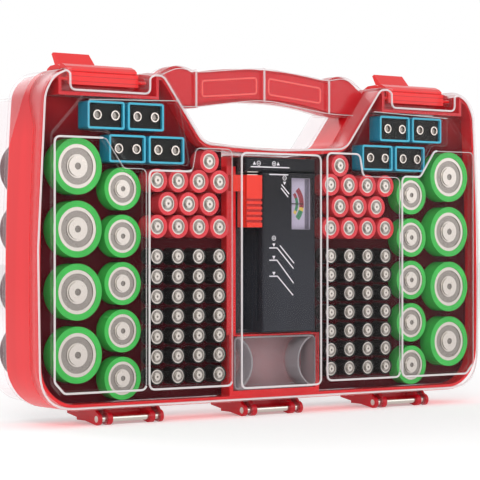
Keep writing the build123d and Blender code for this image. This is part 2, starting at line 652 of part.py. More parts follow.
# ---------------------------------------------------------------- cells
CANS = {
    "d": (D_POSTS, D_DIAMETER / 2, 0.0, D_LENGTH, 0.78),
    "c": (C_POSTS, C_DIAMETER / 2, C_SET_BACK, C_LENGTH, 0.78),
    "aa": (AA_POSTS, AA_DIAMETER / 2, 0.0, AA_LENGTH, 0.68),
    "aaa": (AAA_POSTS, AAA_DIAMETER / 2, 0.0, AAA_LENGTH, 0.85),
}
for name, (posts, radius, front, length, shown_share) in CANS.items():
    everywhere = both_sides(posts)
    core = radius - JACKET
    shown = radius * shown_share
    with BuildPart() as cans:
        round_posts(everywhere, core, front + JACKET_END, front + length)
        with BuildSketch(front_plane(front + JACKET_END)) as recess:
            with Locations(*everywhere):
                Circle(shown * END_RIM)
                Circle(shown * END_DISC, mode=Mode.SUBTRACT)
        extrude(recess.sketch, amount=END_RECESS, dir=(0, 1, 0), mode=Mode.SUBTRACT)
        round_posts(everywhere, shown * END_BUTTON, front, front + JACKET_END + END_RECESS)
        round_posts(everywhere, shown * END_DIMPLE, front - 1, front + END_RECESS, mode=Mode.SUBTRACT)
    export(cans, f"{name}_cell_cans")
    with BuildPart() as jackets:
        with BuildSketch(front_plane(front + JACKET_END / 2)) as ring:
            with Locations(*everywhere):
                Circle(radius)
                Circle(core, mode=Mode.SUBTRACT)
        extrude(ring.sketch, amount=length - JACKET_END, dir=(0, 1, 0))
        with BuildSketch(front_plane(front + JACKET_END / 2)) as shoulder:
            with Locations(*everywhere):
                Circle(radius)
                Circle(shown, mode=Mode.SUBTRACT)
        extrude(shoulder.sketch, amount=JACKET_END / 2, dir=(0, 1, 0))
    export(jackets, f"{name}_cell_jackets")

everywhere = both_sides(NINE_VOLT_POSTS)
with BuildPart() as nine_volt_bodies:
    square_posts(everywhere, NINE_VOLT_WIDTH, NINE_VOLT_HEIGHT, 1.6, TERMINAL_HEIGHT, NINE_VOLT_LENGTH)
    inner = (NINE_VOLT_WIDTH - NINE_VOLT_EDGE * 2, NINE_VOLT_HEIGHT - NINE_VOLT_EDGE * 2)
    square_posts(everywhere, *inner, 0.8, 0, TERMINAL_HEIGHT + TOP_SINK, mode=Mode.SUBTRACT)
export(nine_volt_bodies, "nine_volt_bodies")

with BuildPart() as nine_volt_tops:
    top_from = TERMINAL_HEIGHT + TOP_SINK - TOP_PLATE
    square_posts(everywhere, inner[0] - 0.1, inner[1] - 0.1, 0.75, top_from, TERMINAL_HEIGHT + TOP_SINK)
export(nine_volt_tops, "nine_volt_tops")

with BuildPart() as nine_volt_terminals:
    snaps = [(x + shift, z) for x, z in everywhere for shift in (-TERMINAL_PITCH / 2, TERMINAL_PITCH / 2)]
    round_posts(snaps, TERMINAL_RADIUS, 0.1, top_from)
    with BuildSketch(front_plane(0.1)) as cups:
        with Locations(*snaps):
            Circle(TERMINAL_RADIUS - TERMINAL_WALL)
    extrude(cups.sketch, amount=TERMINAL_CUP, dir=(0, 1, 0), mode=Mode.SUBTRACT)
export(nine_volt_terminals, "nine_volt_terminals")

# ---------------------------------------------------------------- coin cell box
with BuildPart() as coin_box:
    box = (-COIN_BOX_HALF, COIN_BOX_HALF, COIN_BOX_FRONT, COIN_BOX_BACK, COIN_BOX_FOOT, COIN_BOX_TOP)
    block(*box)
    upright = coin_box.edges().filter_by(Axis.Y)
    fillet(upright, COIN_BOX_ROUND)
    with BuildSketch(front_plane(COIN_BOX_FRONT)) as cavity:
        middle = (COIN_BOX_FOOT + COIN_BOX_TOP) / 2
        with Locations((0, middle)):
            width = (COIN_BOX_HALF - COIN_BOX_WALL) * 2
            height = COIN_BOX_TOP - COIN_BOX_FOOT - COIN_BOX_WALL * 2
            RectangleRounded(width, height, COIN_BOX_ROUND - COIN_BOX_WALL)
        with Locations((-COIN_ARC_X, middle), (COIN_ARC_X, middle)):
            Circle(COIN_ARC_RADIUS, mode=Mode.SUBTRACT)
        with Locations((-COIN_ARC_X, middle), (COIN_ARC_X, middle)):
            Circle(COIN_ARC_RADIUS - COIN_BOX_WALL)
        beyond = COIN_BOX_HALF + FAR / 2 - COIN_BOX_WALL
        with Locations((-beyond, middle), (beyond, middle)):
            Rectangle(FAR, FAR, mode=Mode.SUBTRACT)
    reach = COIN_BOX_BACK - COIN_BOX_FRONT - COIN_BOX_WALL
    extrude(cavity.sketch, amount=reach, dir=(0, 1, 0), mode=Mode.SUBTRACT)
export(coin_box, "coin_box")

# ---------------------------------------------------------------- tester
with BuildPart() as tester_front_shell:
    block(TESTER_LEFT, TESTER_RIGHT, TESTER_FRONT, TESTER_SPLIT, TESTER_FOOT, TESTER_TOP - JAW_HEIGHT)
    front_edges = tester_front_shell.faces().sort_by(Axis.Y)[0].edges()
    fillet(front_edges, TESTER_CORNER)
    cavity_front = TESTER_FRONT + TESTER_WALL
    cavity = (TESTER_LEFT + TESTER_WALL, TESTER_RIGHT - TESTER_WALL)
    cavity_top = TESTER_TOP - JAW_HEIGHT - TESTER_WALL
    block(*cavity, cavity_front, FAR, TESTER_FOOT + TESTER_WALL, cavity_top, mode=Mode.SUBTRACT)
    window = (METER_LEFT, METER_RIGHT - METER_EDGE)
    block(*window, TESTER_FRONT - 1, cavity_front + 1, METER_FOOT, METER_TOP, mode=Mode.SUBTRACT)
    block(METER_LEFT, cavity[1], cavity_front, DIAL_DEPTH, METER_FOOT - DIAL_SEAT, METER_FOOT - 0.2)
    block(METER_LEFT, cavity[1], cavity_front, DIAL_DEPTH, METER_TOP + 0.2, cavity_top)
    slot_top = SLIDER_TOP
    slot_foot = SLIDER_TOP - SLIDER_LENGTH - SLIDER_TRAVEL - FIT
    slot = (TESTER_LEFT - 1, cavity[0] + 1, SLOT_FRONT - FIT, SLOT_FRONT + SLOT_HEIGHT + FIT)
    block(*slot, slot_foot, slot_top, mode=Mode.SUBTRACT)
export(tester_front_shell, "tester_front_shell")

with BuildPart() as tester_back_shell:
    block(TESTER_TRAY_LEFT, TESTER_RIGHT, TESTER_SPLIT, TESTER_BACK, TESTER_FOOT, TESTER_TOP)
    trough = (TESTER_TRAY_LEFT + TESTER_WALL, TESTER_LEFT - TESTER_WALL / 2)
    inner_back = TESTER_BACK - TESTER_WALL
    inner_foot = TESTER_FOOT + TESTER_WALL
    block(*trough, -1, inner_back, inner_foot, TESTER_TOP - JAW_HEIGHT, mode=Mode.SUBTRACT)
    block(*cavity, -1, inner_back, inner_foot, cavity_top, mode=Mode.SUBTRACT)
    block(TESTER_TRAY_LEFT, TESTER_RIGHT, TESTER_FRONT, TESTER_SPLIT, TESTER_TOP - JAW_HEIGHT, TESTER_TOP)
    jaw_edges = tester_back_shell.faces().sort_by(Axis.Y)[0].edges()
    fillet(jaw_edges, TESTER_CORNER)
export(tester_back_shell, "tester_back_shell")

with BuildPart() as meter_lens:
    lens = (window[0] + PIN_SEAT_FIT, window[1] - PIN_SEAT_FIT)
    lens_front = TESTER_FRONT + LENS_SINK
    lens_span = (METER_FOOT + PIN_SEAT_FIT, METER_TOP - PIN_SEAT_FIT)
    block(*lens, lens_front, lens_front + LENS_THICKNESS, *lens_span)
export(meter_lens, "meter_lens")

METER_PIVOT = (METER_PIVOT_X, METER_PIVOT_HEIGHT)

with BuildPart() as meter_dial:
    block(1.5, cavity[1] - 0.1, DIAL_DEPTH, DIAL_DEPTH + 1, METER_FOOT - DIAL_SEAT, cavity_top - 0.1)
    round_posts([METER_PIVOT], SPINDLE_RADIUS + 0.7, -1, 3, mode=Mode.SUBTRACT)
export(meter_dial, "meter_dial")

with BuildPart() as meter_movement:
    reach = MOVEMENT_HALF
    low = METER_PIVOT_HEIGHT - reach
    coil = (METER_PIVOT_X - reach / 2, METER_PIVOT_X + reach)
    block(*coil, DIAL_DEPTH + 1, MOVEMENT_BACK, low, low + reach * 2)
    bore = SPINDLE_RADIUS + PIN_RUNNING_FIT
    round_posts([METER_PIVOT], bore, -1, MOVEMENT_BACK - 1, mode=Mode.SUBTRACT)
export(meter_movement, "meter_movement")

with BuildPart() as meter_needle:
    round_posts([METER_PIVOT], HUB_RADIUS, NEEDLE_DEPTH, NEEDLE_DEPTH + 0.8)
    round_posts([METER_PIVOT], SPINDLE_RADIUS, NEEDLE_DEPTH, MOVEMENT_BACK - 1.3)
    half = NEEDLE_WIDTH / 2
    tip = METER_PIVOT_X + NEEDLE_LENGTH
    low = METER_PIVOT_HEIGHT - half
    block(METER_PIVOT_X, tip, NEEDLE_DEPTH, NEEDLE_DEPTH + NEEDLE_THICKNESS, low, low + NEEDLE_WIDTH)
export(meter_needle, "meter_needle")

with BuildPart() as tester_slider:
    foot = SLIDER_TOP - SLIDER_LENGTH
    block(SLIDER_LEFT, SLIDER_RIGHT, SLIDER_FRONT, SLIDER_BACK, foot, SLIDER_TOP)
    for rib in range(SLIDER_RIBS):
        level = foot + SLIDER_RIB_START + SLIDER_RIB_PITCH * rib
        grip = (SLIDER_LEFT - 1, SLIDER_RIGHT + 1, -FAR, SLIDER_FRONT + SLIDER_GROOVE)
        block(*grip, level, level + SLIDER_RIB_PITCH / 2, mode=Mode.SUBTRACT)
    arm_foot = SLIDER_TOP - SLIDER_ARM_HEIGHT
    block(SLIDER_ARM_LEFT, SLIDER_LEFT, SLIDER_ARM_FRONT, SLIDER_ARM_BACK, arm_foot, SLIDER_TOP)
    tongue_back = SLOT_FRONT + SLOT_HEIGHT
    block(SLIDER_RIGHT, cavity[0] - FIT, SLOT_FRONT, tongue_back, foot + FIT, SLIDER_TOP - FIT)
export(tester_slider, "tester_slider")

with BuildPart() as slider_contact:
    contact = (SLIDER_LEFT + 2, SLIDER_RIGHT - 2)
    block(*contact, SLIDER_FRONT + 2, SLIDER_BACK - 1, SLIDER_TOP, SLIDER_TOP + CONTACT_THICKNESS)
export(slider_contact, "slider_contact")

with BuildPart() as tester_fixed_contact:
    jaw_foot = TESTER_TOP - JAW_HEIGHT
    block(*contact, SLIDER_FRONT + 2, inner_back - 2, jaw_foot - CONTACT_THICKNESS, jaw_foot)
export(tester_fixed_contact, "tester_fixed_contact")

# ---------------------------------------------------------------- latches
front_section = side_polygon(
    [
        (FRONT_LATCH_PIVOT - LATCH_PLATE, LATCH_TOE),
        (FRONT_LATCH_PIVOT - LATCH_PLATE, 204.4),
        (9.7, 205.2),
        (9.7, 206.6),
        (12.0, 208.4),
        (16.0, 210.0),
        (18.6, 210.4),
        (18.6, LIP_FOOT),
        (FRONT_BEAD + BEAD_WIDTH + 0.4, LIP_FOOT),
        (FRONT_BEAD + BEAD_WIDTH + 0.4, ARM_UNDER),
        (14.4, ARM_UNDER),
        (FRONT_LATCH_PIVOT, 203.6),
        (FRONT_LATCH_PIVOT, LATCH_TOE),
    ],
    (FRONT_LATCH_PIVOT, LATCH_PIVOT_HEIGHT, LATCH_PLATE),
)
back_section = side_polygon(
    [
        (BACK_LATCH_PIVOT + LATCH_PLATE, LATCH_TOE),
        (BACK_LATCH_PIVOT + LATCH_PLATE, 205.0),
        (33.6, 208.0),
        (30.0, 209.6),
        (22.0, 210.0),
        (BACK_BEAD - 1.1, 209.0),
        (BACK_BEAD - 1.1, LIP_FOOT),
        (BACK_BEAD - 0.4, LIP_FOOT),
        (BACK_BEAD - 0.4, ARM_UNDER),
        (29.0, ARM_UNDER),
        (BACK_LATCH_PIVOT, 203.6),
        (BACK_LATCH_PIVOT, LATCH_TOE),
    ],
    (BACK_LATCH_PIVOT, LATCH_PIVOT_HEIGHT, LATCH_PLATE),
)
tab_section = side_polygon([(31.0, 208.6), (41.6, 219.4), (43.4, 218.4), (35.4, 204.6), (33.0, 204.6)])

for name, side in SIDES.items():
    centre = side * LATCH_CENTRE
    span = (centre - LATCH_WIDTH / 2, centre + LATCH_WIDTH / 2)
    trunnion = (span[0] - LATCH_TRUNNION_LENGTH, span[1] + LATCH_TRUNNION_LENGTH)
    with BuildPart() as front_latch:
        side_slab(front_section, *span)
        rod(*trunnion, FRONT_LATCH_PIVOT, LATCH_PIVOT_HEIGHT, LATCH_TRUNNION_RADIUS)
    export(front_latch, f"front_latch_{name}")
    with BuildPart() as back_latch:
        side_slab(back_section, *span)
        tab_centre = centre + side * BACK_TAB_OFFSET
        side_slab(tab_section, tab_centre - BACK_TAB_WIDTH / 2, tab_centre + BACK_TAB_WIDTH / 2)
        rod(*trunnion, BACK_LATCH_PIVOT, LATCH_PIVOT_HEIGHT, LATCH_TRUNNION_RADIUS)
    export(back_latch, f"back_latch_{name}")


# ---------------------------------------------------------------- clear covers
def rounded_panel(points, corner, inset=0.0):
    """A raised panel of a cover, seen from the front, with rounded corners and drawn in by the inset."""
    with BuildSketch(mode=Mode.PRIVATE) as panel:
        with BuildLine():
            Polyline(*points, close=True)
        make_face()
        fillet(panel.vertices(), corner)
        if inset:
            offset(amount=-inset, mode=Mode.REPLACE)
    return panel.sketch


BASE_PANEL = [
    (35.9, 10.0),
    (163.0, 10.0),
    (169.2, 17.0),
    (169.2, 166.2),
    (147.0, 190.0),
    (77.6, 190.9),
    (62.0, 163.9),
    (35.9, 161.9),
]
D_C_PANEL = [
    (103.2, 11.0),
    (161.5, 11.0),
    (168.2, 18.0),
    (168.2, 164.4),
    (132.4, 164.4),
    (119.4, 146.4),
    (103.2, 146.4),
]
AA_AAA_PANEL = [
    (38.5, 11.0),
    (101.0, 11.0),
    (101.0, 145.6),
    (69.0, 145.6),
    (66.0, 160.4),
    (38.5, 160.4),
]
NINE_VOLT_PANEL = [
    (70.6, 149.0),
    (116.6, 149.0),
    (131.0, 168.0),
    (144.4, 168.0),
    (144.4, 187.2),
    (78.6, 189.2),
]
TESTER_PANEL = [(-32.0, 9.0), (32.0, 9.0), (32.0, 158.4), (-32.0, 158.4)]


def front_panels(side, inset):
    """The raised panels of one side of the front cover."""
    panels = (D_C_PANEL, AA_AAA_PANEL, NINE_VOLT_PANEL)
    return [rounded_panel(on_side(side, points), PANEL_ROUND, inset) for points in panels]


def lug(pin_depth, toward):
    """Side view of a cover's hinge lug; toward is 1 where the tub lies behind it and -1 where in front."""
    return side_polygon(
        [
            (pin_depth - toward * LUG_RADIUS, -HINGE_DROP),
            (pin_depth - toward * LUG_RADIUS, SKIN / 2),
            (pin_depth + toward * 1.0, SKIN / 2),
            (pin_depth + toward * LUG_RADIUS, -HINGE_DROP),
        ],
        (pin_depth, -HINGE_DROP, LUG_RADIUS),
    )


LUG_HOLE = HINGE_PIN_RADIUS + PIN_RUNNING_FIT


def handle_shell(face, edge, seam, band_half):
    """Half of the clear shell over the handle bar, from its face to its edge at the flush band of the bar."""
    inward = 1 if edge > face else -1
    span = sorted((face, edge))
    with BuildPart(mode=Mode.PRIVATE) as shell:
        slab(HANDLE_OUTLINE, *span)
        ends = shell.faces().filter_by(Axis.Y).sort_by(Axis.Y)
        outward = ends[0] if inward > 0 else ends[-1]
        fillet(outward.edges(), HANDLE_EDGE_ROUND)
        for middle in (-GRIP_PANEL_PITCH, 0, GRIP_PANEL_PITCH):
            with BuildSketch(mode=Mode.PRIVATE) as rib:
                add(handle_outline(-GRIP_RIB_HEIGHT))
                with Locations((middle, HANDLE_TOP)):
                    Rectangle(GRIP_RIB_WIDTH, FAR, mode=Mode.INTERSECT)
            slab(rib.sketch, *sorted((face - inward * GRIP_RIB_HEIGHT, edge)))
        slab(HANDLE_SKIN_OUTLINE, *sorted((face + inward * SKIN, edge + inward)), mode=Mode.SUBTRACT)
        slab(SKIN_OUTLINE, -FAR, FAR, mode=Mode.SUBTRACT)
        with BuildSketch(mode=Mode.PRIVATE) as band_side:
            add(tub_outline(-FIT))
            with Locations((0, FAR / 2)):
                Rectangle(band_half * 2, FAR, mode=Mode.INTERSECT)
        slab(band_side.sketch, *sorted((seam, edge + inward)), mode=Mode.SUBTRACT)
    return shell.part


def hinge_arms(pin, toward, first_lug):
    """A cover's lugs round the hinge pins and the strip that joins each pair, from the first lug's side."""
    arm = lug(pin[0], toward)
    strip_middle = pin[0] - toward * HINGE_STRIP_SETBACK
    strip = side_polygon(
        [
            (strip_middle - SKIN / 2, -HINGE_STRIP_DROP),
            (strip_middle - SKIN / 2, SKIN / 2),
            (strip_middle + SKIN / 2, SKIN / 2),
            (strip_middle + SKIN / 2, -HINGE_STRIP_DROP),
        ]
    )
    for centre in FEET.values():
        side_slab(arm, centre + first_lug, centre + first_lug + LUG_WIDTH)
        side_slab(arm, centre + LUG_INNER, centre + LUG_OUTER)
        side_slab(strip, centre + first_lug, centre + LUG_OUTER)
        rod(centre + first_lug - 1, centre + LUG_OUTER + 1, *pin, LUG_HOLE, mode=Mode.SUBTRACT)


def latch_seats(side, pivot_depth, sheet, skirt_edge):
    """The recess for a latch in a cover: a skirt round it and a bored boss at each end for the trunnions."""
    centre = side * LATCH_CENTRE
    notch_half = LATCH_WIDTH / 2 + LATCH_GAP
    outer_half = notch_half + SKIN
    skirt_top = TUB_HEIGHT - SKIN / 2
    outer = (centre - outer_half, centre + outer_half)
    block(*outer, *sorted((sheet, skirt_edge)), NOTCH_FLOOR - SKIN, skirt_top)
    reach = notch_half + LATCH_BOSS_LENGTH
    pivot = (pivot_depth, LATCH_PIVOT_HEIGHT)
    rod(centre - reach, centre + reach, *pivot, LATCH_BOSS_RADIUS)
    block(centre - notch_half, centre + notch_half, -FAR, FAR, NOTCH_FLOOR, FAR, mode=Mode.SUBTRACT)
    bore = LATCH_WIDTH / 2 + LATCH_TRUNNION_LENGTH + FIT
    rod(centre - bore, centre + bore, *pivot, LATCH_TRUNNION_RADIUS + PIN_RUNNING_FIT, mode=Mode.SUBTRACT)


with BuildPart() as front_cover:
    slab(OUTLINE, SHEET_FRONT, SEAM_FRONT_TOP + 2)
    rim_edges = front_cover.faces().sort_by(Axis.Y)[0].edges()
    fillet(rim_edges, COVER_EDGE_ROUND)
    for side in SIDES.values():
        slab(rounded_panel(on_side(side, BASE_PANEL), PANEL_ROUND), BASE_FRONT, SHEET_FRONT + 1)
        for panel in front_panels(side, 0.0):
            slab(panel, PANEL_FRONT, SHEET_FRONT + 1)
    slab(rounded_panel(TESTER_PANEL, PANEL_ROUND), TESTER_PANEL_FRONT, SHEET_FRONT + 1)
    faces = front_cover.faces().filter_by(Axis.Y)
    tops = faces.filter_by(lambda f: f.center().Y < CELL_TOP_Y + PANEL_FRONT + 0.01)
    fillet(tops.edges(), PANEL_EDGE_ROUND)
    slab(SKIN_OUTLINE, SHEET_FRONT + SKIN, FAR, mode=Mode.SUBTRACT)
    for side in SIDES.values():
        base = rounded_panel(on_side(side, BASE_PANEL), PANEL_ROUND, SKIN)
        slab(base, BASE_FRONT + SKIN, SHEET_FRONT + SKIN + 1, mode=Mode.SUBTRACT)
        for panel in front_panels(side, SKIN):
            slab(panel, PANEL_FRONT + SKIN, SHEET_FRONT + SKIN + 1, mode=Mode.SUBTRACT)
    tester_inner = rounded_panel(TESTER_PANEL, PANEL_ROUND, SKIN)
    slab(tester_inner, TESTER_PANEL_FRONT + SKIN, SHEET_FRONT + SKIN + 1, mode=Mode.SUBTRACT)
    for side in SIDES.values():
        latch_seats(side, FRONT_LATCH_PIVOT, SHEET_FRONT + 1, FRONT_POCKET_BACK - FIT)
    add(BAND_CUT, mode=Mode.SUBTRACT)
    add(handle_shell(HANDLE_SHELL_FRONT, HANDLE_SPLIT_FRONT - SEAM, SEAM_FRONT_TOP - SEAM, HALF_WIDTH))
    hinge_arms(FRONT_PIN, 1, -LUG_OUTER)
export(front_cover, "front_cover")


def bulge_outline(inset):
    """The bulge of the back cover seen from the front, drawn in by the inset."""
    with BuildSketch(mode=Mode.PRIVATE) as outline:
        add(tub_outline(BULGE_INSET + inset))
        with Locations((0, BULGE_TOP - inset - FAR / 2)):
            Rectangle((BULGE_HALF_WIDTH - inset) * 2, FAR, mode=Mode.INTERSECT)
        corners = outline.vertices().filter_by(lambda v: v.Y > BULGE_TOP - inset - 0.5)
        fillet(corners, BULGE_CORNER - inset)
    return outline.sketch


with BuildPart() as back_cover:
    slab(OUTLINE, SEAM_BACK_TOP - 3, SHEET_BACK)
    rim_edges = back_cover.faces().sort_by(Axis.Y)[-1].edges()
    fillet(rim_edges, COVER_EDGE_ROUND)
    slab(bulge_outline(0.0), SHEET_BACK - 1, BULGE_BACK)
    fillet(back_cover.faces().sort_by(Axis.Y)[-1].edges(), BULGE_EDGE_ROUND)
    slab(SKIN_OUTLINE, -FAR, SHEET_BACK - SKIN, mode=Mode.SUBTRACT)
    slab(bulge_outline(SKIN), SHEET_BACK - SKIN - 1, BULGE_BACK - SKIN, mode=Mode.SUBTRACT)
    for side in SIDES.values():
        latch_seats(side, BACK_LATCH_PIVOT, SHEET_BACK - 1, BACK_POCKET_FRONT + FIT)
    add(BAND_CUT, mode=Mode.SUBTRACT)
    add(handle_shell(HANDLE_SHELL_BACK, HANDLE_SPLIT_BACK + SEAM, SEAM_BACK + SEAM, DIP_SEAM_HALF + FIT))
    hinge_arms(BACK_PIN, -1, BACK_LUG_FROM)
export(back_cover, "back_cover")
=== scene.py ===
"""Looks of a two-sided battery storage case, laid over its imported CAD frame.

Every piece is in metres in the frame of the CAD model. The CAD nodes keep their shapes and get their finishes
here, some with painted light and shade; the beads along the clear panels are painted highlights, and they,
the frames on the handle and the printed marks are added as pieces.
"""

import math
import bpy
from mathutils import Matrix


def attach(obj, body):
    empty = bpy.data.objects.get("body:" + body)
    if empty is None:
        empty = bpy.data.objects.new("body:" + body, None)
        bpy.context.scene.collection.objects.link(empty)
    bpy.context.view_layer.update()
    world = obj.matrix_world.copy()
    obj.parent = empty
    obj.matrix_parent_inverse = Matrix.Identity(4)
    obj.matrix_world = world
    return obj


bl_info = {
    "name": "Battery storage case",
    "version": (1, 0, 0),
    "blender": (4, 5, 0),
    "location": "View3D > Sidebar > Battery Case",
    "description": "Finishes, beads and marks for a clear-sided battery storage case",
    "category": "Object",
}

import bmesh
import bpy
from mathutils import Vector

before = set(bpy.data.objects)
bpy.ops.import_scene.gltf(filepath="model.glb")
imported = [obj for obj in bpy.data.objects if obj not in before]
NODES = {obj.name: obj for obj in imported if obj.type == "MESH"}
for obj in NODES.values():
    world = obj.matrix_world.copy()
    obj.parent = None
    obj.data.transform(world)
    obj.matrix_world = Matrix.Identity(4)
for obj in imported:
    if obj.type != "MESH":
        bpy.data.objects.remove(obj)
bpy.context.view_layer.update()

MM = 0.001
CELL_TOP_Y = -29.7  # plane of the cell tops in the frame, mm
FOOT_HEIGHT = 10.0  # underside of the tub above the floor, mm


def place(x, depth, height):
    """A point given in millimetres to the right, behind the cell tops and above the tub's underside."""
    return Vector((x * MM, (CELL_TOP_Y + depth) * MM, (FOOT_HEIGHT + height) * MM))


def rectangle(left, low, right, high):
    """The corners of an upright rectangle."""
    return [(left, low), (right, low), (right, high), (left, high)]


# ------------------------------------------------------------------ lines of the added pieces
# Points are (x, height) as place() takes them. Most are of the right side and are mirrored for the left.
# the raised panels of the front cover, with beads along their edges as painted highlights
D_C_PANEL = [
    (103.2, 11.0),
    (161.5, 11.0),
    (168.2, 18.0),
    (168.2, 164.4),
    (132.4, 164.4),
    (119.4, 146.4),
    (103.2, 146.4),
]
AA_AAA_PANEL = [(38.5, 11.0), (101.0, 11.0), (101.0, 145.6), (69.0, 145.6), (66.0, 160.4), (38.5, 160.4)]
NINE_VOLT_PANEL_TOP = [(78.6, 189.2), (144.4, 187.2)]
TESTER_PANEL = rectangle(-32.0, 9.0, 32.0, 158.4)
PANEL_FRONT = -4.5  # depths of the panels' faces
TESTER_PANEL_FRONT = -5.9
# painted highlight: beads on a panel's left half and along its foot are bright, the rest faint, as the light
# falls from the left
LIT_BELOW = 14.0  # a panel's edge lower than this is bright along its whole length
SUNK_SHARE = 0.7  # of a bead's radius lies behind the panel's face

# the rim of the front cover, round the latch recess, with the radius of each bend; a bright bead along it is
# a painted highlight
RIM_SIDE = [
    (175.4, 1.4, 24.0),
    (177.0, 97.0, 60.0),
    (172.2, 190.0, 20.0),
    (166.4, 200.4, 20.0),
    (157.4, 204.6, 3.0),
    (154.9, 202.8, 3.0),
    (154.9, 192.9, 4.0),
    (97.7, 192.9, 4.0),
    (97.7, 202.8, 3.0),
    (94.4, 204.6, 3.0),
    (88.0, 204.6, 8.0),
    (57.5, 163.6, 14.0),
]
RIM_DIP = (0.0, 160.8, 300.0)
RIM_DEPTH = 0.2

# faint beads, painted highlights, run round the coin cell box and its curved end walls
COIN_BOX_EDGE = rectangle(-32.2, 8.0, 32.2, 40.6)
COIN_BOX_CORNER = 3.4
COIN_BOX_DEPTH = 1.9
CRADLE_CENTRE = (36.0, 24.3)  # of the curved wall at each end of the box
CRADLE_RADIUS = 17.4
CRADLE_TURNS = range(-64, 65, 8)  # degrees

# the frames on the handle's red core; their paler red is a painted highlight
GRIP_FRAME = [(5.0, 208.8), (48.0, 204.6), (48.0, 194.6), (5.0, 198.4)]
# painted highlights: bright beads on the shell's three ribs and along its top and under edges
GRIP_RIBS = ((-54.0, 187.6, 209.6), (0.0, 193.4, 213.9), (54.0, 187.6, 209.6))  # x, foot and top
GRIP_TOP = [
    (-80.4, 206.6),
    (-67.0, 212.4),
    (-54.0, 209.6),
    (0.0, 215.6),
    (54.0, 209.6),
    (67.0, 212.4),
    (80.4, 206.6),
]
GRIP_UNDER = [(-79.0, 187.4), (-54.0, 187.6), (0.0, 195.0), (54.0, 187.6), (79.0, 187.4)]
GRIP_BEND = 120.0  # radius of the bends in the shell's edges
GRIP_CORE_DEPTHS = (15.6, 28.4)  # front and back of the red core
GRIP_SHELL_FRONT = 13.4
GRIP_EDGE_DEPTH = 14.0

PRINT_ROOT = 0.02  # a printed plate starts this far inside its face
TESTER_FACE = -3.0
GUIDE_LINES = (
    ((-8.0, 79.8), (-1.8, 79.8), (10.6, 67.6)),
    ((-8.0, 90.1), (-2.2, 90.1), (11.0, 75.5)),
    ((-8.0, 98.0), (-2.0, 98.0), (11.0, 84.9)),
    ((0.4, 99.4), (11.4, 88.4)),
    ((-22.8, 149.9), (7.6, 149.9)),
    ((-8.0, 145.3), (6.6, 145.3)),
    ((1.8, 138.6), (7.4, 133.2)),
    ((1.4, 136.4), (6.6, 131.2)),
)
ARROWS_DOWN = ((-4.7, 82.6), (-4.7, 92.9), (-4.7, 100.9), (4.0, 140.8))
ARROWS_UP = ((-20.2, 151.2), (-1.2, 151.2))
ARROW_HALF, ARROW_HEIGHT = 1.3, 2.2
PLUS_RINGS = ((-4.7, 104.3), (-4.5, 152.2))
MINUS_RINGS = ((-16.8, 152.2), (4.0, 143.2))
RING_RADII = (1.2, 1.6)
RING_STEPS = 20
SIGN_REACH, SIGN_HALF = 0.8, 0.18

DIAL_FACE = 0.6
NEEDLE_PIVOT = (6.5, 126.7)
DIAL_STEP = 4  # degrees
DIAL_BANDS = (  # name, ink, and arcs of two radii and two angles
    ("dial_red", (0.33, 0.03, 0.05), ((12.4, 16.0, 42, -9), (9.2, 11.4, 40, 22))),
    ("dial_yellow", (0.85, 0.66, 0.10), ((12.4, 16.0, -9, -18), (9.2, 11.4, -26, -38))),
    ("dial_green", (0.03, 0.28, 0.12), ((12.4, 16.0, -18, -42), (9.2, 11.4, 22, -26))),
)
DIAL_STRIP = rectangle(23.2, 110.4, 26.6, 143.0)
STRIP_GREY = (0.17, 0.17, 0.24)

# ------------------------------------------------------------------ zones of painted light and shade in a finish
# Each is an axis, a start and a span in mm of the frame, and the painted colour's level at shares of the
# span.
# painted shade: the tub's red deepens toward its top, over the handle and the latch pockets
TUB_TOP_SHADE = ("Z", 150.0, 120.0, ((0.2, 0.0), (0.4, 0.6), (0.95, 0.6)))
# painted light: the trays turn lighter red toward the top, by the nine volt cells, as if lit through the
# cover
TRAY_TOP_LIGHT = ("Z", 150.0, 90.0, ((0.2, 0.0), (0.5, 1.0), (0.95, 1.0)))
# painted shade: the tester's shell darkens toward its top
TESTER_TOP_SHADE = ("Z", 80.0, 130.0, ((0.1, 0.0), (0.5, 1.0), (0.95, 1.0)))
# painted highlight: a lighter teal band along the front rims of the nine volt cases
NINE_VOLT_RIM_HIGHLIGHT = ("Y", CELL_TOP_Y, 2.0, ((0.1, 1.0), (0.3, 1.0), (0.45, 0.0)))
# painted shade: darker steel in the floor of the terminal cups
TERMINAL_CUP_SHADE = ("Y", CELL_TOP_Y + 0.1, 1.6, ((0.1, 0.0), (0.4, 0.85), (0.9, 0.85)))
# painted shade: darker red in the grooves of the slider and of the front latches
SLIDER_GROOVE_SHADE = ("Y", CELL_TOP_Y - 2.5, 1.2, ((0.1, 0.0), (0.4, 0.8), (0.8, 0.8)))
THREE_GROOVES = [((at, 0.0), (at + 0.02, 1.0), (at + 0.05, 0.0)) for at in (0.16, 0.45, 0.74)]
LATCH_GROOVE_SHADE = ("Z", FOOT_HEIGHT + 196.9, 11.0, sum(THREE_GROOVES, ()))
# painted shade: darker steel in the dimple and the ring groove of each cell end
DIMPLE = ((0.08, 0.0), (0.12, 0.9), (0.18, 0.9), (0.22, 0.0))
RING_GROOVE = ((0.30, 0.0), (0.36, 0.75), (0.44, 0.75), (0.5, 0.0))
CELL_END = ("Y", CELL_TOP_Y, 3.0, DIMPLE + RING_GROOVE)
C_CELL_END = ("Y", CELL_TOP_Y + 1.6, 3.0, DIMPLE + RING_GROOVE)  # the C cells are set back

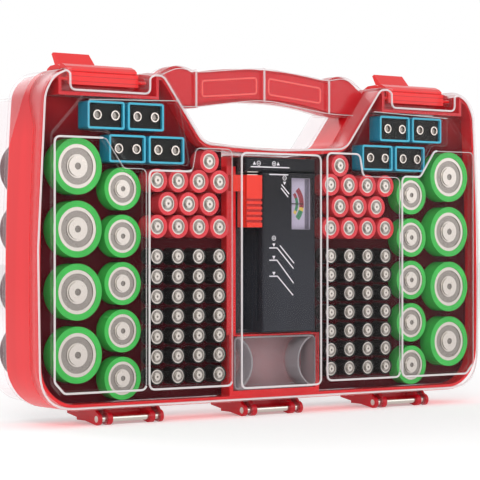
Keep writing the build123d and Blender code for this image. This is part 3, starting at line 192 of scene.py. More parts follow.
# ------------------------------------------------------------------ values of the finishes
NOISE_DETAIL = 3.0
STREAK_SCALE = 60.0
UPRIGHT_STREAKS = (1, 1, 0.05)
ON_CELLS = (1, 0.1, 1)  # streaks along the cells
GLOSS_SPREAD = 0.25
GRAIN_SCALE = 1800.0
GRAIN_DEPTH = 0.0002  # metres
STEEL_SCALE = 900.0
STEEL_SPREAD = 0.3
CLEAR_SCALE = 25.0
CLEAR_SHADE = 0.96  # the darker end of the clear plastic's unevenness
CLEAR_DYE = 0.35  # how much of the tint the light takes on its way through
CLEAR_ROUGHNESS = 0.05
CLEAR_SHINE = 0.5
NEEDLE_BLACK = (0.01, 0.01, 0.01)

# ------------------------------------------------------------------ values of the stage
FLOOR_REACH = 12.0
FLOOR_WHITE = (0.93, 0.93, 0.93, 1)
FLOOR_ROUGHNESS = 0.9
FLOOR_GLOW = 0.3
WHITE = (1, 1, 1, 1)
LIGHT_ON_OBJECT = 0.55
LIGHT_IN_VIEW = 1.0
LAMPS = (  # name, place, power and size
    ("key", (-1.5, -1.6, 1.3), 19.0, 1.2),
    ("fill", (1.4, -1.9, 0.8), 6.0, 1.2),
    ("rear", (-0.2, 1.6, 1.4), 9.0, 1.4),
)
LAMP_AIM = Vector((0, 0, 0.11))
SENSOR_WIDTH = 36.0
LENS = 143.48
VIEW_END = 50.0
CAMERA_PLACE = (-745.91, -986.12, 96.18)
CAMERA_AZIMUTH, CAMERA_ELEVATION, CAMERA_ROLL = (math.radians(angle) for angle in (36.0, -0.323, -0.03))


# ------------------------------------------------------------------ settings
def colour(name, text, default):
    return bpy.props.FloatVectorProperty(
        name=name, description=text, subtype="COLOR", size=3, min=0.0, max=1.0, default=default
    )


def length(name, text, default_mm):
    return bpy.props.FloatProperty(
        name=name, description=text, subtype="DISTANCE", unit="LENGTH", min=0.0, default=default_mm * MM
    )


class BatteryCaseColours(bpy.types.PropertyGroup):
    """Base colours of the finishes."""

    tub_red: colour("Tub red", "Red gloss plastic of the tub and the tester tray", (0.82, 0.016, 0.022))
    # the darker red of the feet, and also the painted shade at the top of the tub
    tub_deep_and_top_shade: colour("Deep tub red", "Red of the feet, handle and latch pockets", (0.50, 0.006, 0.016))
    latch_red: colour("Latch red", "Bright red gloss plastic of the latches", (0.90, 0.010, 0.012))
    slider_red: colour("Slider red", "Orange red of the tester's slider", (0.90, 0.040, 0.018))
    # painted shade in the grooves of the latches and the slider
    groove_shade_red: colour("Groove red", "Red in the grooves of the latches and the slider", (0.42, 0.004, 0.006))
    tray_red: colour("Tray red", "Dark red plastic between the cells", (0.080, 0.001, 0.006))
    # painted light on the upper part of the trays
    tray_painted_light: colour("Light tray red", "Red of the trays by the nine volt cells", (0.28, 0.006, 0.010))
    # a painted highlight on the frames of the handle
    frame_highlight_red: colour("Frame red", "Paler red of the frames on the handle", (0.92, 0.16, 0.15))
    clear_tint: colour("Clear tint", "Faint tint of the clear plastic", (1.0, 0.955, 0.965))
    box_tint: colour("Coin box tint", "Greyish clear plastic of the coin cell box", (0.66, 0.64, 0.66))
    # tester_grey is the shell's colour; the near black over its upper half is painted shade
    tester_grey: colour("Tester grey", "Dark grey of the tester's lower half", (0.024, 0.029, 0.038))
    tester_shade_black: colour("Tester black", "Near black of the tester's upper half", (0.005, 0.007, 0.010))
    dial_card: colour("Dial card", "Pale card behind the needle", (0.60, 0.60, 0.76))
    print_white: colour("Print white", "White ink of the marks", (0.86, 0.87, 0.90))
    green_label: colour("Green label", "Sleeves of the D and C cells", (0.050, 0.52, 0.085))
    red_label: colour("Red label", "Sleeves of the AA cells", (0.74, 0.050, 0.065))
    black_label: colour("Black label", "Sleeves of the AAA cells", (0.012, 0.014, 0.013))
    teal_label: colour("Teal label", "Cases of the nine volt cells", (0.010, 0.30, 0.46))
    # a painted highlight on the front rims of the nine volt cells
    teal_rim_highlight: colour("Teal edge", "Lighter rims of the nine volt cells", (0.06, 0.50, 0.68))
    steel: colour("Steel", "Cell ends, terminals and hinge pins", (0.60, 0.58, 0.53))
    # steel_shade is painted shade in the grooves of the cell ends and in the terminal cups
    steel_shade: colour("Steel in shade", "Grooves in the cell ends", (0.17, 0.16, 0.145))


class BatteryCaseSizes(bpy.types.PropertyGroup):
    """Sizes of the added pieces."""

    # the beads are painted highlights along the edges of the clear panels
    bead_radius: length("Bead radius", "Half the width of the bright edge of a clear panel", 0.65)
    faint_radius: length("Faint bead radius", "Half the width of the edges that catch little light", 0.28)
    bead_corner: length("Bead corner", "Corner radius of the bright edges", 4.2)
    grip_bead: length("Grip frame bead", "Half the width of the frames on the handle", 0.7)
    grip_corner: length("Grip frame corner", "Corner radius of the frames on the handle", 2.0)
    ink: length("Ink thickness", "How far a printed mark stands off its face", 0.05)
    stroke: length("Stroke", "Width of a printed line", 0.75)


# ------------------------------------------------------------------ finishes
def finish_nodes(name):
    """A new material, its node tree and its Principled shader."""
    material = bpy.data.materials.new(name)
    material.use_nodes = True
    tree = material.node_tree
    return material, tree, tree.nodes["Principled BSDF"]


def add_node(tree, kind, **settings):
    """A new node; each setting goes to the input of that name, or else to the node itself."""
    node = tree.nodes.new(kind)
    for key, value in settings.items():
        if key in node.inputs:
            node.inputs[key].default_value = value
        else:
            setattr(node, key, value)
    return node


def object_noise(tree, scale, stretch=(1, 1, 1)):
    """Noise in object coordinates, stretched along the axes."""
    where = add_node(tree, "ShaderNodeTexCoord")
    mapping = add_node(tree, "ShaderNodeMapping", Scale=stretch)
    noise = add_node(tree, "ShaderNodeTexNoise", Scale=scale, Detail=NOISE_DETAIL)
    tree.links.new(where.outputs["Object"], mapping.inputs["Vector"])
    tree.links.new(mapping.outputs["Vector"], noise.inputs["Vector"])
    return noise


def mottled_colour(tree, shader, noise, first, second):
    """A base colour that wanders between two colours with the noise."""
    blend = add_node(tree, "ShaderNodeMix", data_type="RGBA", A=(*first, 1), B=(*second, 1))
    tree.links.new(noise.outputs["Fac"], blend.inputs["Factor"])
    tree.links.new(blend.outputs["Result"], shader.inputs["Base Color"])


def uneven_gloss(tree, shader, noise, rough, spread):
    """A roughness that wanders with the noise by a share of itself either way."""
    gloss = add_node(tree, "ShaderNodeMapRange")
    gloss.inputs["To Min"].default_value = rough * (1 - spread)
    gloss.inputs["To Max"].default_value = rough * (1 + spread)
    tree.links.new(noise.outputs["Fac"], gloss.inputs["Value"])
    tree.links.new(gloss.outputs["Result"], shader.inputs["Roughness"])


def plastic(name, base, rough, streak=0.0, scale=STREAK_SCALE, stretch=UPRIGHT_STREAKS, shine=0.3, grain=0.0):
    """Opaque plastic with soft moulding streaks, a slightly uneven gloss and, if asked, a fine grain."""
    material, tree, shader = finish_nodes(name)
    noise = object_noise(tree, scale, stretch)
    darker = [c * (1 - streak) for c in base]
    lighter = [min(1.0, c * (1 + streak)) for c in base]
    mottled_colour(tree, shader, noise, darker, lighter)
    uneven_gloss(tree, shader, noise, rough, GLOSS_SPREAD)
    shader.inputs["Specular IOR Level"].default_value = shine
    if grain:
        relief = add_node(tree, "ShaderNodeBump", Strength=grain, Distance=GRAIN_DEPTH)
        tree.links.new(object_noise(tree, GRAIN_SCALE).outputs["Fac"], relief.inputs["Height"])
        tree.links.new(relief.outputs["Normal"], shader.inputs["Normal"])
    return material


def steel_finish(name, base, rough):
    """Bright steel with a faint mottling in its roughness."""
    material, tree, shader = finish_nodes(name)
    shader.inputs["Base Color"].default_value = (*base, 1)
    shader.inputs["Metallic"].default_value = 1.0
    uneven_gloss(tree, shader, object_noise(tree, STEEL_SCALE), rough, STEEL_SPREAD)
    return material


def add_painted_zone(material, second, zone):
    """Paints light and shade into a finish, as a second colour where a zone says."""
    axis, start, span, levels = zone
    tree = material.node_tree
    base = tree.nodes["Principled BSDF"].inputs["Base Color"]
    where = add_node(tree, "ShaderNodeTexCoord")
    split = add_node(tree, "ShaderNodeSeparateXYZ")
    share = add_node(tree, "ShaderNodeMapRange")
    share.inputs["From Min"].default_value = start * MM
    share.inputs["From Max"].default_value = (start + span) * MM
    level = add_node(tree, "ShaderNodeFloatCurve")
    curve = level.mapping.curves[0]
    curve.points[0].location = (0.0, 0.0)
    curve.points[1].location = (1.0, 0.0)
    for spot, height in levels:
        curve.points.new(spot, height)
    for point in curve.points:
        point.handle_type = "VECTOR"
    level.mapping.update()
    blend = add_node(tree, "ShaderNodeMix", data_type="RGBA", A=tuple(base.default_value), B=(*second, 1))
    if base.is_linked:
        tree.links.new(base.links[0].from_socket, blend.inputs["A"])
    tree.links.new(where.outputs["Object"], split.inputs["Vector"])
    tree.links.new(split.outputs[axis], share.inputs["Value"])
    tree.links.new(share.outputs["Result"], level.inputs["Value"])
    tree.links.new(level.outputs["Value"], blend.inputs["Factor"])
    tree.links.new(blend.outputs["Result"], base)
    return material


def clear_finish(name, tint, body, edge, sharp=3.0):
    """Clear plastic: see-through face on, and whiter and glossier the more it is seen edge on."""
    material, tree, shader = finish_nodes(name)
    mottled_colour(tree, shader, object_noise(tree, CLEAR_SCALE), tint, [c * CLEAR_SHADE for c in tint])
    shader.inputs["Roughness"].default_value = CLEAR_ROUGHNESS
    shader.inputs["Specular IOR Level"].default_value = CLEAR_SHINE
    weight = add_node(tree, "ShaderNodeLayerWeight", Blend=0.5)
    steep = add_node(tree, "ShaderNodeMath", operation="POWER")
    steep.inputs[1].default_value = sharp
    share = add_node(tree, "ShaderNodeMapRange")
    share.inputs["To Min"].default_value = body
    share.inputs["To Max"].default_value = edge
    dyed = [1 - (1 - c) * CLEAR_DYE for c in tint]
    clear = add_node(tree, "ShaderNodeBsdfTransparent", Color=(*dyed, 1))
    both = add_node(tree, "ShaderNodeMixShader")
    tree.links.new(weight.outputs["Facing"], steep.inputs[0])
    tree.links.new(steep.outputs[0], share.inputs["Value"])
    tree.links.new(share.outputs["Result"], both.inputs["Fac"])
    tree.links.new(clear.outputs["BSDF"], both.inputs[1])
    tree.links.new(shader.outputs["BSDF"], both.inputs[2])
    tree.links.new(both.outputs["Shader"], tree.nodes["Material Output"].inputs["Surface"])
    return material


def dress(material, *names):
    """Gives CAD nodes one finish."""
    for name in names:
        node = NODES[name]
        node.data.materials.clear()
        node.data.materials.append(material)


# ------------------------------------------------------------------ building helpers
def add_piece(name, mesh, material, body):
    """A finished piece at the origin, with one finish, riding on a body of the frame."""
    piece = bpy.data.objects.new(name, mesh)
    bpy.context.scene.collection.objects.link(piece)
    mesh.materials.clear()
    mesh.materials.append(material)
    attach(piece, body)


def piece_from_bmesh(name, bm, material, body):
    """A finished piece from a bmesh, with its faces turned outwards."""
    bmesh.ops.recalc_face_normals(bm, faces=bm.faces)
    mesh = bpy.data.meshes.new(name)
    bm.to_mesh(mesh)
    bm.free()
    add_piece(name, mesh, material, body)


def add_plate(bm, outline, front, back):
    """A flat plate between two depths, from an outline of (x, height) points in millimetres."""
    near = [bm.verts.new(place(x, front, z)) for x, z in outline]
    far = [bm.verts.new(place(x, back, z)) for x, z in outline]
    bm.faces.new(near)
    bm.faces.new(far[::-1])
    count = len(outline)
    for i in range(count):
        bm.faces.new((near[i], far[i], far[(i + 1) % count], near[(i + 1) % count]))


def add_arc(bm, centre, radii, angles, steps, front, back):
    """A flat arc between two radii and two angles in degrees, as one plate for each step."""
    x, z = centre
    inner, outer = radii
    start, end = angles
    for i in range(steps):
        a, b = (math.radians(start + (end - start) * (i + k) / steps) for k in (0, 1))
        ring = ((outer, a), (outer, b), (inner, b), (inner, a))
        add_plate(bm, [(x + r * math.cos(t), z + r * math.sin(t)) for r, t in ring], front, back)


def bead_tree():
    """Geometry nodes that run a round bead along the edges of a mesh."""
    tree = bpy.data.node_groups.new("Bead along edges", "GeometryNodeTree")
    face = tree.interface
    face.new_socket("Geometry", in_out="INPUT", socket_type="NodeSocketGeometry")
    face.new_socket("Bead Radius", in_out="INPUT", socket_type="NodeSocketFloat")
    face.new_socket("Finish", in_out="INPUT", socket_type="NodeSocketMaterial")
    face.new_socket("Geometry", in_out="OUTPUT", socket_type="NodeSocketGeometry")
    nodes, link = tree.nodes, tree.links.new
    source = nodes.new("NodeGroupInput")
    target = nodes.new("NodeGroupOutput")
    line = nodes.new("GeometryNodeMeshToCurve")
    ring = add_node(tree, "GeometryNodeCurvePrimitiveCircle", Resolution=8)
    sweep = nodes.new("GeometryNodeCurveToMesh")
    sweep.inputs["Fill Caps"].default_value = True
    smooth = nodes.new("GeometryNodeSetShadeSmooth")
    realize = nodes.new("GeometryNodeRealizeInstances")
    paint = nodes.new("GeometryNodeSetMaterial")
    link(source.outputs["Geometry"], line.inputs["Mesh"])
    link(source.outputs["Bead Radius"], ring.inputs["Radius"])
    link(line.outputs["Curve"], sweep.inputs["Curve"])
    link(ring.outputs["Curve"], sweep.inputs["Profile Curve"])
    link(sweep.outputs["Mesh"], smooth.inputs["Geometry"])
    link(smooth.outputs["Geometry"], realize.inputs["Geometry"])
    link(realize.outputs["Geometry"], paint.inputs["Geometry"])
    link(source.outputs["Finish"], paint.inputs["Material"])
    link(paint.outputs["Geometry"], target.inputs["Geometry"])
    return tree


def beads(name, runs, radius, material, body):
    """Round beads along runs of frame points, as one plain mesh; a closed run ends where it starts."""
    bm = bmesh.new()
    for run in runs:
        closed = (run[0] - run[-1]).length < 1e-6
        verts = [bm.verts.new(point) for point in (run[:-1] if closed else run)]
        for here, there in zip(verts, verts[1:]):
            bm.edges.new((here, there))
        if closed:
            bm.edges.new((verts[-1], verts[0]))
    guide_mesh = bpy.data.meshes.new(name + "_guide")
    bm.to_mesh(guide_mesh)
    bm.free()
    guide = bpy.data.objects.new(name + "_guide", guide_mesh)
    bpy.context.scene.collection.objects.link(guide)
    tree = bpy.data.node_groups.get("Bead along edges") or bead_tree()
    modifier = guide.modifiers.new("Bead", "NODES")
    modifier.node_group = tree
    sockets = {item.name: item.identifier for item in tree.interface.items_tree if item.in_out == "INPUT"}
    modifier[sockets["Bead Radius"]] = radius
    modifier[sockets["Finish"]] = material
    depsgraph = bpy.context.evaluated_depsgraph_get()
    mesh = bpy.data.meshes.new_from_object(guide.evaluated_get(depsgraph))
    bpy.data.objects.remove(guide)
    add_piece(name, mesh, material, body)


def rounded(points, radius, closed=True):
    """A run of (x, height) points with its corners bent; a closed run gets its start again at its end.

    The radius is one for all corners, or a list. A bend stops short of the middle of its sides.
    """
    bend_steps, side_share = 8, 0.49
    count = len(points)
    radii = radius if isinstance(radius, list) else [radius] * count
    run = []
    for i, (x, z) in enumerate(points):
        if not closed and i in (0, count - 1):
            run.append((x, z))
            continue
        corner = Vector((x, z))
        before = Vector(points[i - 1]) - corner
        after = Vector(points[(i + 1) % count]) - corner
        half_turn = before.angle(after) / 2
        reach = min(radii[i] / math.tan(half_turn), before.length * side_share, after.length * side_share)
        start, end = corner + before.normalized() * reach, corner + after.normalized() * reach
        for step in range(bend_steps + 1):
            share = step / bend_steps
            bend = start * (1 - share) ** 2 + corner * 2 * share * (1 - share) + end * share**2
            run.append((bend.x, bend.y))
    if closed:
        run.append(run[0])
    return run


def at_depth(run, depth):
    """A run of (x, height) points placed in the frame at one depth."""
    return [place(x, depth, z) for x, z in run]


def mirrored(points):
    """The same (x, height) points on the left side."""
    return [(-x, z) for x, z in points]


def stretches(points, lit, wanted):
    """The stretches of a run that are lit, or that aren't, each up to and with the point after it."""
    found, run = [], []
    for point, state in zip(points, lit):
        if state == wanted:
            run.append(point)
            continue
        if len(run) > 1:
            found.append(run + [point])
        run = []
    if len(run) > 1:
        found.append(run)
    return found


# ------------------------------------------------------------------ operators
class BATTERYCASE_OT_tub(bpy.types.Operator):
    """Red gloss plastic of the tub, feet and tester tray, with painted shade deepening the tub's red toward
    its top, and the steel hinge pins
    """

    bl_idname = "battery_case.tub"
    bl_label = "Tub and feet"

    def execute(self, context):
        colours = context.scene.battery_case_colours
        red = plastic("Red gloss plastic", colours.tub_red, 0.22, streak=0.16, shine=0.35)
        # painted shade: deeper red toward the top of the tub
        dress(add_painted_zone(red, colours.tub_deep_and_top_shade, TUB_TOP_SHADE), "case_frame", "tester_tray")
        foot = plastic("Foot plastic", colours.tub_deep_and_top_shade, 0.25, streak=0.16, shine=0.3)
        dress(foot, "hinge_foot_left", "hinge_foot_middle", "hinge_foot_right")
        dress(steel_finish("Hinge pin steel", colours.steel, 0.22), "front_hinge_pins", "back_hinge_pins")
        return {"FINISHED"}


class BATTERYCASE_OT_trays(bpy.types.Operator):
    """Dark red plastic of the trays between the cells, with painted light making them lighter red toward the
    top
    """

    bl_idname = "battery_case.trays"
    bl_label = "Cell trays"

    def execute(self, context):
        colours = context.scene.battery_case_colours
        tray = plastic(
            "Dark tray plastic", colours.tray_red, 0.4, streak=0.5, scale=30.0, stretch=(1, 1, 1), shine=0.06
        )
        # painted light toward the top of the trays
        dress(add_painted_zone(tray, colours.tray_painted_light, TRAY_TOP_LIGHT), "tray_left", "tray_right")
        return {"FINISHED"}


class BATTERYCASE_OT_cells(bpy.types.Operator):
    """Sleeves, steel ends and terminals of the stored cells"""

    bl_idname = "battery_case.cells"
    bl_label = "Cells"

    def execute(self, context):
        colours = context.scene.battery_case_colours
        green = plastic("Green sleeve", colours.green_label, 0.25, streak=0.25, stretch=ON_CELLS, shine=0.3)
        red = plastic("Red sleeve", colours.red_label, 0.25, streak=0.2, stretch=ON_CELLS, shine=0.3)
        black = plastic("Black sleeve", colours.black_label, 0.3, streak=0.2, stretch=ON_CELLS, shine=0.2)
        teal = plastic("Teal case", colours.teal_label, 0.3, streak=0.2, stretch=ON_CELLS, shine=0.3)
        black_top = plastic("Black cell top", colours.black_label, 0.5, streak=0.3, shine=0.15, grain=0.12)
        dress(green, "d_cell_jackets", "c_cell_jackets")
        dress(red, "aa_cell_jackets")
        dress(black, "aaa_cell_jackets")
        # painted highlight on the front rims
        dress(add_painted_zone(teal, colours.teal_rim_highlight, NINE_VOLT_RIM_HIGHLIGHT), "nine_volt_bodies")
        dress(black_top, "nine_volt_tops", "meter_movement")
        # painted shade in the grooves of the cell ends
        ends = steel_finish("Cell end steel", colours.steel, 0.3)
        dress(add_painted_zone(ends, colours.steel_shade, CELL_END), "d_cell_cans", "aa_cell_cans", "aaa_cell_cans")
        c_ends = steel_finish("C cell end steel", colours.steel, 0.3)
        dress(add_painted_zone(c_ends, colours.steel_shade, C_CELL_END), "c_cell_cans")
        terminals = steel_finish("Terminal steel", colours.steel, 0.25)
        # painted shade in the terminal cups
        dress(add_painted_zone(terminals, colours.steel_shade, TERMINAL_CUP_SHADE), "nine_volt_terminals")
        return {"FINISHED"}


class BATTERYCASE_OT_covers(bpy.types.Operator):
    """Clear plastic of the two covers and the coin cell box"""

    bl_idname = "battery_case.covers"
    bl_label = "Clear covers"

    def execute(self, context):
        colours = context.scene.battery_case_colours
        clear = clear_finish("Clear cover plastic", colours.clear_tint, 0.003, 0.8, 3.6)
        dress(clear, "front_cover", "back_cover")
        dress(clear_finish("Clear box plastic", colours.box_tint, 0.26, 0.85, 2.0), "coin_box")
        return {"FINISHED"}


class BATTERYCASE_OT_panel_beads(bpy.types.Operator):
    """Painted highlights: whitish beads where the raised panels and the rim of the front cover, the coin cell
    box and the tester's panel catch the light
    """

    bl_idname = "battery_case.panel_beads"
    bl_label = "Cover edges"

    def execute(self, context):
        colours = context.scene.battery_case_colours
        sizes = context.scene.battery_case_sizes
        # whitish clear finishes for the painted highlights on the edges
        bright = clear_finish("Bright cover edge highlight", colours.clear_tint, 0.55, 0.95, 1.0)
        faint = clear_finish("Faint cover edge highlight", colours.clear_tint, 0.25, 0.6, 1.0)
        corner = sizes.bead_corner / MM
        sunk = sizes.bead_radius / MM * SUNK_SHARE
        bright_runs, faint_runs = [], []
        for on_side in (mirrored, list):
            for panel in (D_C_PANEL, AA_AAA_PANEL):
                loop = rounded(on_side(panel), corner)
                middle = (min(x for x, z in loop) + max(x for x, z in loop)) / 2
                lit = [x < middle or z < LIT_BELOW for x, z in loop]
                placed = at_depth(loop, PANEL_FRONT + sunk)
                bright_runs += stretches(placed, lit, True)
                faint_runs += stretches(placed, lit, False)
            faint_runs.append(at_depth(on_side(NINE_VOLT_PANEL_TOP), PANEL_FRONT + sunk))
        rim = RIM_SIDE + [RIM_DIP] + [(-x, z, radius) for x, z, radius in reversed(RIM_SIDE)]
        radii = [radius for x, z, radius in rim]
        bright_runs.append(at_depth(rounded([(x, z) for x, z, radius in rim], radii), RIM_DEPTH))
        beads("cover_edge_highlights", bright_runs, sizes.bead_radius, bright, "front_cover")
        beads("faint_cover_edge_highlights", faint_runs, sizes.faint_radius, faint, "front_cover")
        x, z = CRADLE_CENTRE
        turns = [math.radians(turn) for turn in CRADLE_TURNS]
        cradle = [(x - CRADLE_RADIUS * math.cos(a), z + CRADLE_RADIUS * math.sin(a)) for a in turns]
        box_runs = [mirrored(cradle), cradle, rounded(COIN_BOX_EDGE, COIN_BOX_CORNER)]
        placed = [at_depth(run, COIN_BOX_DEPTH) for run in box_runs]
        beads("coin_box_edge_highlights", placed, sizes.faint_radius, faint, "case")
        loop = at_depth(rounded(TESTER_PANEL, corner), TESTER_PANEL_FRONT + sunk)
        beads("tester_panel_edge_highlight", [loop], sizes.bead_radius, bright, "front_cover")
        return {"FINISHED"}


class BATTERYCASE_OT_grip_frames(bpy.types.Operator):
    """Raised frames on the red core of the handle, in a paler red that is a painted highlight, and painted
    highlights as beads on the ribs and edges of its clear shell
    """

    bl_idname = "battery_case.grip_frames"
    bl_label = "Handle frames"

    def execute(self, context):
        sizes = context.scene.battery_case_sizes
        colours = context.scene.battery_case_colours
        corner = sizes.grip_corner / MM
        frames = [
            at_depth(rounded(on_side(GRIP_FRAME), corner), depth)
            for depth in GRIP_CORE_DEPTHS
            for on_side in (mirrored, list)
        ]
        ribs = [at_depth([(x, foot), (x, top)], GRIP_SHELL_FRONT) for x, foot, top in GRIP_RIBS]
        edges = [
            at_depth(rounded(points, GRIP_BEND, closed=False), GRIP_EDGE_DEPTH)
            for points in (GRIP_TOP, GRIP_UNDER)
        ]
        # the frames' paler red is a painted highlight
        red = plastic("Handle frame highlight plastic", colours.frame_highlight_red, 0.3, streak=0.1)
        clear = clear_finish("Handle rib and edge highlight", colours.clear_tint, 0.45, 0.9, 1.0)
        beads("handle_frames", frames, sizes.grip_bead, red, "case")
        beads("handle_rib_highlights", ribs, sizes.bead_radius, clear, "front_cover")
        beads("handle_edge_highlights", edges, sizes.faint_radius, clear, "front_cover")
        return {"FINISHED"}


class BATTERYCASE_OT_latches(bpy.types.Operator):
    """Bright red plastic of the four latches, with painted shade in the grooves of the front latches"""

    bl_idname = "battery_case.latches"
    bl_label = "Latches"

    def execute(self, context):
        colours = context.scene.battery_case_colours
        plain = plastic("Latch plastic", colours.latch_red, 0.2, streak=0.1, shine=0.4)
        groove_shaded = plastic("Latch plastic with groove shade", colours.latch_red, 0.2, streak=0.1, shine=0.4)
        dress(plain, "back_latch_left", "back_latch_right")
        # the front latches get painted shade in their grooves
        dress(add_painted_zone(groove_shaded, colours.groove_shade_red, LATCH_GROOVE_SHADE), "front_latch_left", "front_latch_right")
        return {"FINISHED"}


class BATTERYCASE_OT_tester(bpy.types.Operator):
    """Finishes of the cell tester"""

    bl_idname = "battery_case.tester"
    bl_label = "Cell tester"

    def execute(self, context):
        colours = context.scene.battery_case_colours
        shell = plastic("Tester plastic", colours.tester_grey, 0.38, streak=0.3, shine=0.2, grain=0.12)
        # painted shade darkens the shell toward its top
        dress(add_painted_zone(shell, colours.tester_shade_black, TESTER_TOP_SHADE), "tester_front_shell", "tester_back_shell")
        slider = plastic("Slider plastic", colours.slider_red, 0.3, streak=0.1, shine=0.3)
        # painted shade in the slider's grooves
        dress(add_painted_zone(slider, colours.groove_shade_red, SLIDER_GROOVE_SHADE), "tester_slider")
        dress(plastic("Dial card", colours.dial_card, 0.6, streak=0.04), "meter_dial")
        dress(plastic("Needle paint", NEEDLE_BLACK, 0.5), "meter_needle")
        dress(clear_finish("Lens plastic", colours.clear_tint, 0.02, 0.6), "meter_lens")
        contact = steel_finish("Contact plate steel", colours.steel, 0.28)
        dress(contact, "slider_contact", "tester_fixed_contact")
        return {"FINISHED"}


class BATTERYCASE_OT_marks(bpy.types.Operator):
    """White guide lines, arrows and polarity rings on the tester"""

    bl_idname = "battery_case.marks"
    bl_label = "Printed marks"

    def execute(self, context):
        colours = context.scene.battery_case_colours
        sizes = context.scene.battery_case_sizes
        front, back = TESTER_FACE - sizes.ink / MM, TESTER_FACE + PRINT_ROOT
        half = sizes.stroke / MM / 2
        bm = bmesh.new()
        outlines = []
        for points in GUIDE_LINES:
            for start, end in zip(points, points[1:]):
                start, end = Vector(start), Vector(end)
                along = (end - start).normalized() * half
                across = Vector((-along.y, along.x))
                first, last = start - along, end + along
                outlines.append((first - across, last - across, last + across, first + across))
        for arrows, height in ((ARROWS_DOWN, -ARROW_HEIGHT), (ARROWS_UP, ARROW_HEIGHT)):
            outlines += [((x - ARROW_HALF, z), (x + ARROW_HALF, z), (x, z + height)) for x, z in arrows]
        for x, z in PLUS_RINGS + MINUS_RINGS:
            add_arc(bm, (x, z), RING_RADII, (0, 360), RING_STEPS, front, back)
            outlines.append(rectangle(x - SIGN_REACH, z - SIGN_HALF, x + SIGN_REACH, z + SIGN_HALF))
        for x, z in PLUS_RINGS:
            for low, high in ((SIGN_HALF, SIGN_REACH), (-SIGN_REACH, -SIGN_HALF)):
                outlines.append(rectangle(x - SIGN_HALF, z + low, x + SIGN_HALF, z + high))
        for outline in outlines:
            add_plate(bm, outline, front, back)
        ink = plastic("White ink", colours.print_white, 0.5, streak=0.05)
        piece_from_bmesh("tester_marks", bm, ink, "case")
        return {"FINISHED"}


class BATTERYCASE_OT_dial(bpy.types.Operator):
    """Coloured bands of the dial and the grey strip beside them"""

    bl_idname = "battery_case.dial"
    bl_label = "Dial bands"

    def execute(self, context):
        sizes = context.scene.battery_case_sizes
        front, back = DIAL_FACE - sizes.ink / MM, DIAL_FACE + PRINT_ROOT
        for name, paint, arcs in DIAL_BANDS:
            bm = bmesh.new()
            for inner, outer, start, end in arcs:
                steps = max(3, int(abs(end - start) / DIAL_STEP))
                add_arc(bm, NEEDLE_PIVOT, (inner, outer), (start, end), steps, front, back)
            bmesh.ops.remove_doubles(bm, verts=bm.verts, dist=1e-7)
            ink = plastic(name.replace("_", " ").title() + " ink", paint, 0.6)
            piece_from_bmesh(name, bm, ink, "case")
        bm = bmesh.new()
        add_plate(bm, DIAL_STRIP, front, back)
        piece_from_bmesh("dial_strip", bm, plastic("Grey strip", STRIP_GREY, 0.5), "case")
        return {"FINISHED"}


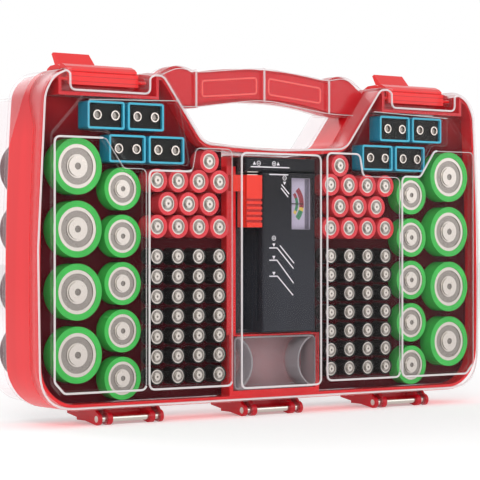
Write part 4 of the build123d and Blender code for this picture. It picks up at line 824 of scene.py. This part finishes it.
class BATTERYCASE_OT_stage(bpy.types.Operator):
    """Floor, light and the camera at the viewing angle of the photograph"""

    bl_idname = "battery_case.stage"
    bl_label = "Floor, light and camera"

    def execute(self, context):
        scene = context.scene
        bm = bmesh.new()
        corners = rectangle(-FLOOR_REACH, -FLOOR_REACH, FLOOR_REACH, FLOOR_REACH)
        bm.faces.new([bm.verts.new((x, y, 0.0)) for x, y in corners])
        mesh = bpy.data.meshes.new("floor")
        bm.to_mesh(mesh)
        bm.free()
        floor = bpy.data.objects.new("floor", mesh)
        scene.collection.objects.link(floor)
        material, tree, shader = finish_nodes("Floor white")
        shader.inputs["Base Color"].default_value = FLOOR_WHITE
        shader.inputs["Roughness"].default_value = FLOOR_ROUGHNESS
        shader.inputs["Specular IOR Level"].default_value = 0.0
        shader.inputs["Emission Color"].default_value = WHITE
        shader.inputs["Emission Strength"].default_value = FLOOR_GLOW
        mesh.materials.append(material)

        # the world lights the object softly, and is white to the camera, in gloss and through clear plastic
        world = bpy.data.worlds.new("Soft studio")
        scene.world = world
        world.use_nodes = True
        tree = world.node_tree
        background = tree.nodes["Background"]
        background.inputs["Color"].default_value = WHITE
        rays = add_node(tree, "ShaderNodeLightPath")
        seen = rays.outputs["Is Camera Ray"]
        for kind in ("Is Glossy Ray", "Is Transmission Ray"):
            either = add_node(tree, "ShaderNodeMath", operation="MAXIMUM")
            tree.links.new(seen, either.inputs[0])
            tree.links.new(rays.outputs[kind], either.inputs[1])
            seen = either.outputs[0]
        level = add_node(tree, "ShaderNodeMapRange")
        level.inputs["To Min"].default_value = LIGHT_ON_OBJECT
        level.inputs["To Max"].default_value = LIGHT_IN_VIEW
        tree.links.new(seen, level.inputs["Value"])
        tree.links.new(level.outputs["Result"], background.inputs["Strength"])

        for name, spot, power, size in LAMPS:
            data = bpy.data.lights.new(name, "AREA")
            data.energy = power
            data.size = size
            lamp = bpy.data.objects.new(name, data)
            lamp.location = spot
            lamp.rotation_euler = (LAMP_AIM - Vector(spot)).to_track_quat("-Z", "Y").to_euler()
            scene.collection.objects.link(lamp)

        data = bpy.data.cameras.new("camera")
        data.sensor_width = SENSOR_WIDTH
        data.lens = LENS
        data.clip_end = VIEW_END
        camera = bpy.data.objects.new("camera", data)
        scene.collection.objects.link(camera)
        camera.location = place(*CAMERA_PLACE)
        level_share = math.cos(CAMERA_ELEVATION)
        forward = Vector(
            (
                math.sin(CAMERA_AZIMUTH) * level_share,
                math.cos(CAMERA_AZIMUTH) * level_share,
                -math.sin(CAMERA_ELEVATION),
            )
        )
        camera.rotation_euler = forward.to_track_quat("-Z", "Y").to_euler()
        camera.rotation_euler.rotate_axis("Z", CAMERA_ROLL)
        scene.camera = camera
        scene.view_settings.view_transform = "Standard"
        return {"FINISHED"}


class BATTERYCASE_PT_panel(bpy.types.Panel):
    """Settings and steps of the battery storage case"""

    bl_label = "Battery storage case"
    bl_idname = "BATTERYCASE_PT_panel"
    bl_space_type = "VIEW_3D"
    bl_region_type = "UI"
    bl_category = "Battery Case"

    def draw(self, context):
        layout = self.layout
        for group in (context.scene.battery_case_colours, context.scene.battery_case_sizes):
            box = layout.box()
            for name in group.__annotations__:
                box.prop(group, name)
        for operator in OPERATORS:
            layout.operator(operator.bl_idname)


OPERATORS = (
    BATTERYCASE_OT_tub,
    BATTERYCASE_OT_trays,
    BATTERYCASE_OT_cells,
    BATTERYCASE_OT_covers,
    BATTERYCASE_OT_panel_beads,
    BATTERYCASE_OT_grip_frames,
    BATTERYCASE_OT_latches,
    BATTERYCASE_OT_tester,
    BATTERYCASE_OT_marks,
    BATTERYCASE_OT_dial,
    BATTERYCASE_OT_stage,
)
CLASSES = (BatteryCaseColours, BatteryCaseSizes, *OPERATORS, BATTERYCASE_PT_panel)


def register():
    for cls in CLASSES:
        bpy.utils.register_class(cls)
    bpy.types.Scene.battery_case_colours = bpy.props.PointerProperty(type=BatteryCaseColours)
    bpy.types.Scene.battery_case_sizes = bpy.props.PointerProperty(type=BatteryCaseSizes)


def unregister():
    del bpy.types.Scene.battery_case_sizes
    del bpy.types.Scene.battery_case_colours
    for cls in reversed(CLASSES):
        bpy.utils.unregister_class(cls)


def main():
    register()
    steps = bpy.ops.battery_case
    for operator in OPERATORS:
        step = operator.bl_idname.split(".")[1]
        getattr(steps, step)()


if __name__ == "__main__":
    main()
